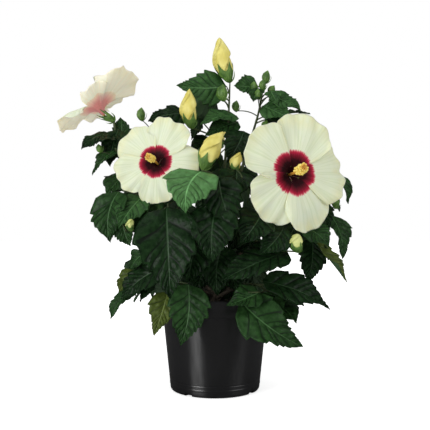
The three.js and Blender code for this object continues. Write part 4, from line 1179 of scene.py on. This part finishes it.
def make_soil():
    """A disc with an uneven top, and crumbs of bark strewn on it by a seeded draw."""
    low, low_radius = POT_WALL + GAP, POT_BASE_RADIUS - 1
    band_foot = POT_HEIGHT - POT_BAND_HEIGHT
    top_radius = POT_RIM_RADIUS - POT_BAND_STEP - 2 - POT_WALL - 1
    profile = [(0, low), (low_radius, low), (low_radius + 1.6, POT_CORNER + 1), (top_radius, band_foot - 1),
               (top_radius, SOIL_TOP - 4)]
    profile += [(radius, SOIL_TOP - 2) for radius in (*np.linspace(top_radius, 3, 26), 0)]

    def lumps(reach, level, angle):
        x, y = reach * np.cos(angle), reach * np.sin(angle)
        uneven = 1.3 * ripple(x / 5, y / 5, 31) + 0.7 * ripple(x / 2, y / 2, 32)
        return reach, np.where(level > SOIL_TOP - 3, level + uneven, level)

    piece = Piece("potting_mix")
    piece.add(turned(profile, 96, lumps))
    draw = np.random.default_rng(7)
    radius = top_radius * np.sqrt(draw.uniform(0.02, 0.94, CRUMBS))
    centres = rings_round(radius, draw.uniform(0, FULL_TURN, CRUMBS), SOIL_TOP - 1.6)
    sizes = draw.uniform(0.8, 2.8, (CRUMBS, 1)) * draw.uniform(0.5, 1.3, (CRUMBS, 3))
    piece.add(blobs(centres, sizes * (1, 1, 0.6), 7, 4))
    return piece.finish([SOIL], "soil", "soil")


def blobs(centres, sizes, around, rows):
    """Many small rounded lumps: a ball's rings scaled and moved to each centre, as one set of shells."""
    tilt = np.linspace(0, math.pi, rows + 2)[1:-1, None]
    angle = circle(around)
    ball, faces = closed_rings(rings_round(np.sin(tilt), angle, np.cos(tilt)), (0, 0, 1), (0, 0, -1))
    points = (centres[:, None] + ball[None] * sizes[:, None]).reshape(-1, 3)
    shift = (np.arange(len(centres)) * len(ball))[:, None, None]
    return points, [(f[None] + shift).reshape(-1, f.shape[1]) for f in faces]


def bark_relief(length, seed):
    """Fine ridges that wander along the limb, and a ring of swelling at each old leaf's joint."""

    def relief(share, angle):
        place = share * length
        ridges = 0.05 * np.sin(7 * angle + 2.2 * np.sin(place / 11))
        ridges = ridges + 0.035 * np.sin(13 * angle - place / 6)
        uneven = 0.05 * ripple(place / 4, 3 * np.sin(angle), seed)
        joint = 0.16 * np.exp(-(((place + 5 * seed) % 23 - 11.5) / 1.8) ** 2)
        return ridges + uneven + joint

    return relief


def make_limbs():
    """The trunk and every bough, with the relief of their bark."""
    piece = Piece("trunk_and_boughs")
    piece.add(round_bar(trunk, trunk_radius, 28, 70, bark_relief(trunk.length, 1)))
    for number, mass in enumerate(MASSES):
        bough = mass["bough"]
        steps = int(bough.length / 2.2)
        radius = taper(BOUGH_FOOT_RADIUS, BOUGH_TIP_RADIUS)
        piece.add(round_bar(bough, radius, 16, steps, bark_relief(bough.length, number + 2)))
    return piece.finish([BARK], "bark", "trunk", *(f"bough_{mass['name']}" for mass in MASSES))


def make_leaves(mass):
    """A mass's leaves, each with its tone's blade, midrib and the painted shade along its side veins, and
    the shared underside.
    """
    piece = Piece(f"leaves_{mass['name']}")
    tones = list(LEAF_TONES)
    for number, (leaf, grid) in enumerate(mass["grown"]):
        points, faces, kinds = leaf_blade(leaf, grid, mass["seed"] + BLADE_SEEDS + number)
        tone = tones.index(leaf.tone)
        slot_of_kind = np.array([tone, len(tones) + tone, 2 * len(tones) + tone, 3 * len(tones)])
        piece.add((points, faces), [slot_of_kind[kind] for kind in kinds])
    materials = [*LEAF_MATERIALS, *RIB_MATERIALS, *VEIN_SHADE_MATERIALS, UNDERSIDE]
    return piece.finish(materials, "leaf", f"foliage_{mass['name']}")


def make_twigs(mass):
    """A mass's stem, its twigs, and the stalks of its leaves, buds and flowers."""
    piece = Piece(f"twigs_{mass['name']}")
    stem = mass["stem"]
    piece.add(round_bar(stem, taper(BOUGH_TIP_RADIUS, STEM_TIP_RADIUS), 12, int(stem.length / 3),
                        bark_relief(stem.length, mass["seed"] // MASS_SEEDS)))
    for twig in mass["axes"][1:]:
        piece.add(round_bar(twig, taper(TWIG_RADIUS, 0.8 * TWIG_RADIUS), 8, 12))
    for curve, radius in mass["stalks"]:
        piece.add(round_bar(curve, lambda share, r=radius: r * (1.25 - 0.35 * share), 7, 10))
    for flower in FLOWERS:
        if flower["mass"] == mass["name"]:
            piece.add(round_bar(flower["stalk"], taper(1.9, 2.2), 9, 16))
    return piece.finish([GREEN_STEM], "bark", f"foliage_{mass['name']}")


def turned_points(points, foot, direction):
    """Moves points made along +Z so that they start at a foot and run along a direction."""
    ahead = unit(direction)
    across = sideways(ahead, 0.0)
    return foot + points @ np.stack([across, np.cross(ahead, across), ahead])


def bud_radius(share, point):
    """A spindle whose upper half is raised to a power: over 1 it is more pointed, under 1 blunter."""
    shape = spindle(share, 0.5, 0.8)
    return np.where(share < 0.5, shape, shape ** point)


def furled(length, radius, petals, twist, rows, around, point=POINTED):
    """Petals rolled into a pointed spindle: its radius, times 1 + 0.34 (saw - 0.65), where the saw of
    petals (a - twist t) gives each petal's overlapping edge, and seven fine ribs."""
    share = np.linspace(0, 1, rows + 2)[1:-1, None]
    angle = circle(around)
    saw = (petals * (angle / FULL_TURN - twist * share)) % 1.0
    fold = 0.34 * (saw - 0.65) * np.clip(share * 2, 0, 1) + 0.03 * np.sin(7 * angle + 5 * share)
    reach = radius * bud_radius(share, point) * (1 + fold)
    return closed_rings(rings_round(reach, angle, share * length), (0, 0, 0), (0, 0, length))


def lobed_cup(height, radius_at, lobe=0.45):
    """A calyx: r(z) round its axis, its rim cut into five pointed lobes, height (1 - lobe |sin 2.5 a|)."""
    angle = circle(60)
    edge = 1 - lobe * np.abs(np.sin(2.5 * angle)) ** 0.8
    outside, inside = np.linspace(0.03, 1, 16), np.linspace(0.98, 0.4, 8)
    share = np.concatenate([outside, inside])[:, None]
    side = np.where(np.arange(len(share))[:, None] < len(outside), 0.5, -0.5) * CALYX_WALL
    reach = radius_at(share * edge) * (1 + 0.03 * np.cos(10 * angle)) + side
    return closed_rings(rings_round(reach, angle, share * edge * height), (0, 0, 0), (0, 0, 0.3 * height))


def bracts(foot, direction, length, spread, count, radius=0.9):
    """Narrow green points round the foot of a bud, each a bar that bends up and thins to its end."""
    axis = unit(direction)
    bars = []
    for number in range(count):
        out = sideways(axis, FULL_TURN * number / count + 0.3)
        end = foot + axis * length + out * spread
        curve = Bend(foot + axis, foot + axis * 0.25 * length + out * spread * 0.9, end)
        bars.append(round_bar(curve, lambda t: radius * (1 - 0.85 * t ** 1.5), 6, 6))
    return bars


def make_bud(piece, foot, tip, radius, kind):
    """One bud: a closed calyx, or a lobed one round rolled petals, and bracts round its foot. Its axis
    bows to one side by 0.28 radius 4 t (1 - t)."""
    foot, direction = np.array(foot, float), np.array(tip, float) - np.array(foot, float)
    length = np.linalg.norm(direction)
    side = unit(np.cross(direction, (0.0, 1.0, 0.0)))

    def add_bowed(shell, slot):
        points, faces = shell
        share = points[:, 2:] / length
        bow = side * 0.28 * radius * 4 * share * (1 - share)
        piece.add((turned_points(points, foot, direction) + bow, faces), slot)

    if kind == "green":
        add_bowed(furled(length, radius, 5, 0.05, 16, 30), 0)
        bars = bracts(foot, direction, 0.6 * length, 1.15 * radius, 7, 0.8)
    else:
        point, cup_share, slot = (POINTED, 0.42, 1) if kind == "opening" else (BLUNT, 0.6, 2)
        add_bowed(furled(length, 0.97 * radius, 3, 0.62, 56, 72, point), slot)

        def cup_radius(share):
            return radius * 1.04 * bud_radius(cup_share * share, point)

        add_bowed(lobed_cup(cup_share * length, cup_radius), 0)
        bars = bracts(foot, direction, 0.22 * length, 0.75 * radius, 8)
    for bar in bars:
        piece.add(bar)


def make_buds(mass):
    """A mass's buds on their stalks."""
    piece = Piece(f"buds_{mass['name']}")
    for bud in BUDS[mass["name"]]:
        make_bud(piece, *bud)
    return piece.finish([SEPAL, BUD_PETAL, BUD_PALE], "petal", f"foliage_{mass['name']}")


def petal_grid(flower, k, phases, own):
    """Petal k at u out and v across: its angle is turn + step k + moved + spread(u) v, its radius and
    height come from the petal's profile, and it is lifted square to that by waves shared with the next
    petal, pleats, a cup, the lap and tilt (tilt u - lap) v u, and a droop u^3. Gives its top and bottom,
    and at each point its reach, its side and its place round the flower."""
    u = np.linspace(0, 1, PETAL_ROWS)[:, None]
    v = np.linspace(-1, 1, PETAL_ROWS)[None, :]
    moved, grow, droop, tilt = flower["petals"][k]
    spread = 38 + 8 * np.clip(u / 0.5, 0, 1) - 3.5 * np.clip((u - 0.7) / 0.3, 0, 1)
    bearing = np.radians(flower["turn"] + PETAL_STEP_DEG * k + moved + spread * v)
    skew = 0.12 * math.sin(own[1])
    notch = 0.03 * u * np.exp(-(v / 0.1) ** 2) * (0.5 + 0.5 * math.sin(own[0]))
    edge = 1 - 0.28 * np.abs(v + skew * u) ** 3.3 * u - notch
    crimp = u ** 3 * (0.016 * np.sin(10 * bearing + own[1]) + 0.009 * np.sin(23 * bearing + own[2]))
    radius, height, slope = petal_profile(flower, np.clip(u * grow * edge * (1 + crimp), 0, PETAL_LONGEST))
    wave = u ** 2.2 * (3.4 * np.sin(5 * bearing + phases[0]) + 2.4 * np.sin(9 * bearing + phases[1])
                       + 2.2 * np.sin(19 * bearing + phases[2]) * u ** 3)
    pleat = 0.3 * u * np.sin(24 * v + 2.0 * np.sin(3 * u + own[1])) * (1 - np.abs(v) ** 6)
    crease = ripple(3.0 * v * np.ones_like(u), 3.6 * u, int(100 * own[0]))
    pleat = pleat + 5.0 * u ** 1.5 * crease * (1 - v ** 4)
    cup = 2.2 * u * (1 - u) * np.cos(math.pi * v)
    lift = flower["size"] * (wave + pleat + cup) + (tilt * u - PETAL_LAP) * v * u - droop * u ** 3
    top, bottom = (
        flower["foot"] + round_flower(flower, bearing) * (radius - np.cos(slope) * offset)[..., None]
        + flower["axis"] * (height + np.sin(slope) * offset)[..., None]
        for offset in (lift + 0.5 * PETAL_THICKNESS, lift - 0.5 * PETAL_THICKNESS))
    side = v * np.ones_like(u)
    around = side * spread / (PETAL_STEP_DEG / 2) + 3 * k
    return top, bottom, {"reach": radius / flower["radius"], "side": side, "round": around}


def make_petals(flower):
    """Five petals, each a closed shell whose points carry their place for the material."""
    piece = Piece(f"petals_{flower['name']}")
    draw = seeded(int(flower["radius"] * 31))
    phases = [FULL_TURN * draw() for _ in range(4)]
    for k in range(5):
        own = [FULL_TURN * draw() for _ in range(3)]
        top, bottom, places = petal_grid(flower, k, phases, own)
        values = {key: np.concatenate([grid.ravel(), grid[1:-1, 1:-1].ravel()])
                  for key, grid in places.items()}
        points, faces = lens_shell(top, bottom)
        piece.add((points, faces), [np.zeros(len(faces[0])), np.ones(len(faces[1]))], values)
    return piece.finish([PETAL, PETAL_BACK], "petal", f"flower_{flower['name']}")


def make_column(flower):
    """The column with its anthers on short threads, and five stigmas at its end."""
    piece = Piece(f"column_{flower['name']}")
    scale, axis, foot = flower["size"], flower["axis"], flower["foot"]
    tip = foot + axis * 62 * scale + np.array(flower["lean"])
    curve = Bend(foot, foot + axis * 34 * scale, tip)
    piece.add(round_bar(curve, lambda share: scale * (2.3 - 0.9 * share), 14, 30))
    draw = seeded(int(flower["radius"]) + 5)
    shares = 0.56 + 0.40 * (np.arange(ANTHERS) + 0.5) / ANTHERS
    ends = []
    for number, (root, ahead) in enumerate(zip(curve.along(shares), curve.heading(shares))):
        out = sideways(ahead, GOLDEN_ANGLE * number)
        end = root + scale * (out * (3.4 + 2.6 * draw()) + ahead * (0.4 + 1.6 * draw()))
        thread = Bend(root, (root + end) / 2 + ahead, end)
        piece.add(round_bar(thread, taper(0.28 * scale, 0.28 * scale), 5, 3))
        ends.append(end)
    sizes = np.array([[1.5 + 0.6 * draw() for _ in range(3)] for _ in range(ANTHERS)]) * scale
    piece.add(blobs(np.array(ends), sizes, 8, 5), 1)
    ahead = curve.heading(1)[0]
    stigmas = []
    for number in range(5):
        end = tip + scale * (sideways(ahead, FULL_TURN * number / 5) * 3.4 + ahead * 1.2)
        arm = Bend(tip - ahead, (tip + end) / 2, end)
        piece.add(round_bar(arm, taper(0.5 * scale, 0.5 * scale), 6, 4))
        stigmas.append(end)
    piece.add(blobs(np.array(stigmas), np.full((5, 3), 1.2 * scale), 10, 6))
    return piece.finish([COLUMN, ANTHER], "petal", f"flower_{flower['name']}")


def make_calyx(flower):
    """The calyx: a lobed cup and the bracts round its foot."""
    piece = Piece(f"calyx_{flower['name']}")
    scale, foot, axis = flower["size"], flower["calyx_foot"], flower["calyx_axis"]
    points, faces = lobed_cup(34 * scale, lambda t: scale * (2.5 + 7.5 * t ** 0.6), 0.55)
    piece.add((turned_points(points, foot, axis), faces))
    for bar in bracts(foot, axis, 13 * scale, 11 * scale, 8, 1.2):
        piece.add(bar)
    return piece.finish([SEPAL], "leaf", f"flower_{flower['name']}")


def area_light(name, place, target, width, height, power):
    """A soft rectangular light, turned to face its target."""
    data = bpy.data.lights.new(name, "AREA")
    data.shape, data.size, data.size_y, data.energy = "RECTANGLE", width, height, power
    back = unit(np.array(place) - np.array(target))
    across = unit(np.cross(UP, back))
    matrix = np.eye(4)
    matrix[:3] = np.stack([across, np.cross(back, across), back, place], -1)
    linked(name, data).matrix_world = Matrix(matrix.tolist())


def make_floor():
    """A pale floor that glows toward the camera, more so far away, and is dim in the pot's shine."""
    mesh = bpy.data.meshes.new("floor")
    half = 6.0
    corners = [(-half, -half, 0), (half, -half, 0), (half, half, 0), (-half, half, 0)]
    mesh.from_pydata(corners, [], [(0, 1, 2, 3)])
    material, tree, shader = new_material(
        "pale_floor", 0.9, Specular_IOR_Level=0.0, Emission_Color=(1, 1, 1, 1))
    ray = add_node(tree, "LightPath").outputs
    place = add_node(tree, "TexCoord").outputs["Object"]
    away = add_node(tree, "VectorMath", {0: place}, operation="LENGTH")
    glow = add_node(tree, "MapRange", {
        "Value": away.outputs["Value"], "From Min": 0.3, "From Max": 1.6, "To Min": 0.66, "To Max": 1.0,
    }, interpolation_type="SMOOTHSTEP")
    seen = add_node(tree, "Math", {
        0: ray["Is Camera Ray"], 1: glow.outputs["Result"]}, operation="MULTIPLY")
    tree.links.new(seen.outputs[0], shader.inputs["Emission Strength"])
    tint = add_node(tree, "Mix", {
        "Factor": ray["Is Glossy Ray"], "A": (0.9, 0.9, 0.9, 1), "B": (0.12, 0.12, 0.12, 1),
    }, data_type="RGBA")
    tree.links.new(tint.outputs["Result"], shader.inputs["Base Color"])
    mesh.materials.append(material)
    floor = linked("floor", mesh)


def make_surround():
    """A white surround, softer as a light than to the camera, and nearly dark in the pot's shine."""
    world = bpy.data.worlds.new("studio")
    bpy.context.scene.world = world
    world.use_nodes = True
    tree = world.node_tree
    background = tree.nodes["Background"]
    background.inputs["Color"].default_value = (1, 1, 1, 1)
    ray = add_node(tree, "LightPath").outputs
    strength = add_node(tree, "MapRange", {
        "Value": ray["Is Camera Ray"], "To Min": 0.55, "To Max": 1.0})
    dimmed = add_node(tree, "Math", {
        0: ray["Is Glossy Ray"], 1: -0.47, 2: strength.outputs["Result"]}, operation="MULTIPLY_ADD")
    tree.links.new(dimmed.outputs[0], background.inputs["Strength"])


def make_lights():
    """A tall soft light at the front left, a weaker one at the right and a broad one overhead."""
    middle = (0, 0, 0.28)
    area_light("softbox_left", (-1.2, -1.3, 0.5), middle, 0.75, 1.5, 17)
    area_light("softbox_right", (1.5, -0.9, 0.9), middle, 1.0, 1.0, 6)
    area_light("overhead", (-0.2, -0.35, 1.75), middle, 1.1, 1.0, 3)


def make_camera():
    """The camera stands at the front view's eye and looks level along +Y."""
    data = bpy.data.cameras.new("camera")
    data.lens, data.sensor_width = 58.6, 36
    camera = linked("camera", data)
    camera.location = (0, EYE[1] * METRES, 0.2728)
    camera.rotation_euler = (math.pi / 2, 0, 0)
    bpy.context.scene.camera = camera
    bpy.context.scene.view_settings.view_transform = "Standard"


brush(POT)
make_floor()
make_surround()
make_lights()
make_camera()
for flower in FLOWERS:
    grow_flower_stalk(flower)
for mass in MASSES:
    grow_placed(mass)
for mass in MASSES:
    grow_seeded(mass)
make_pot()
make_soil()
make_limbs()
for mass in MASSES:
    make_leaves(mass)
    make_twigs(mass)
    if mass["name"] in BUDS:
        make_buds(mass)
for flower in FLOWERS:
    make_petals(flower)
    make_column(flower)
    make_calyx(flower)
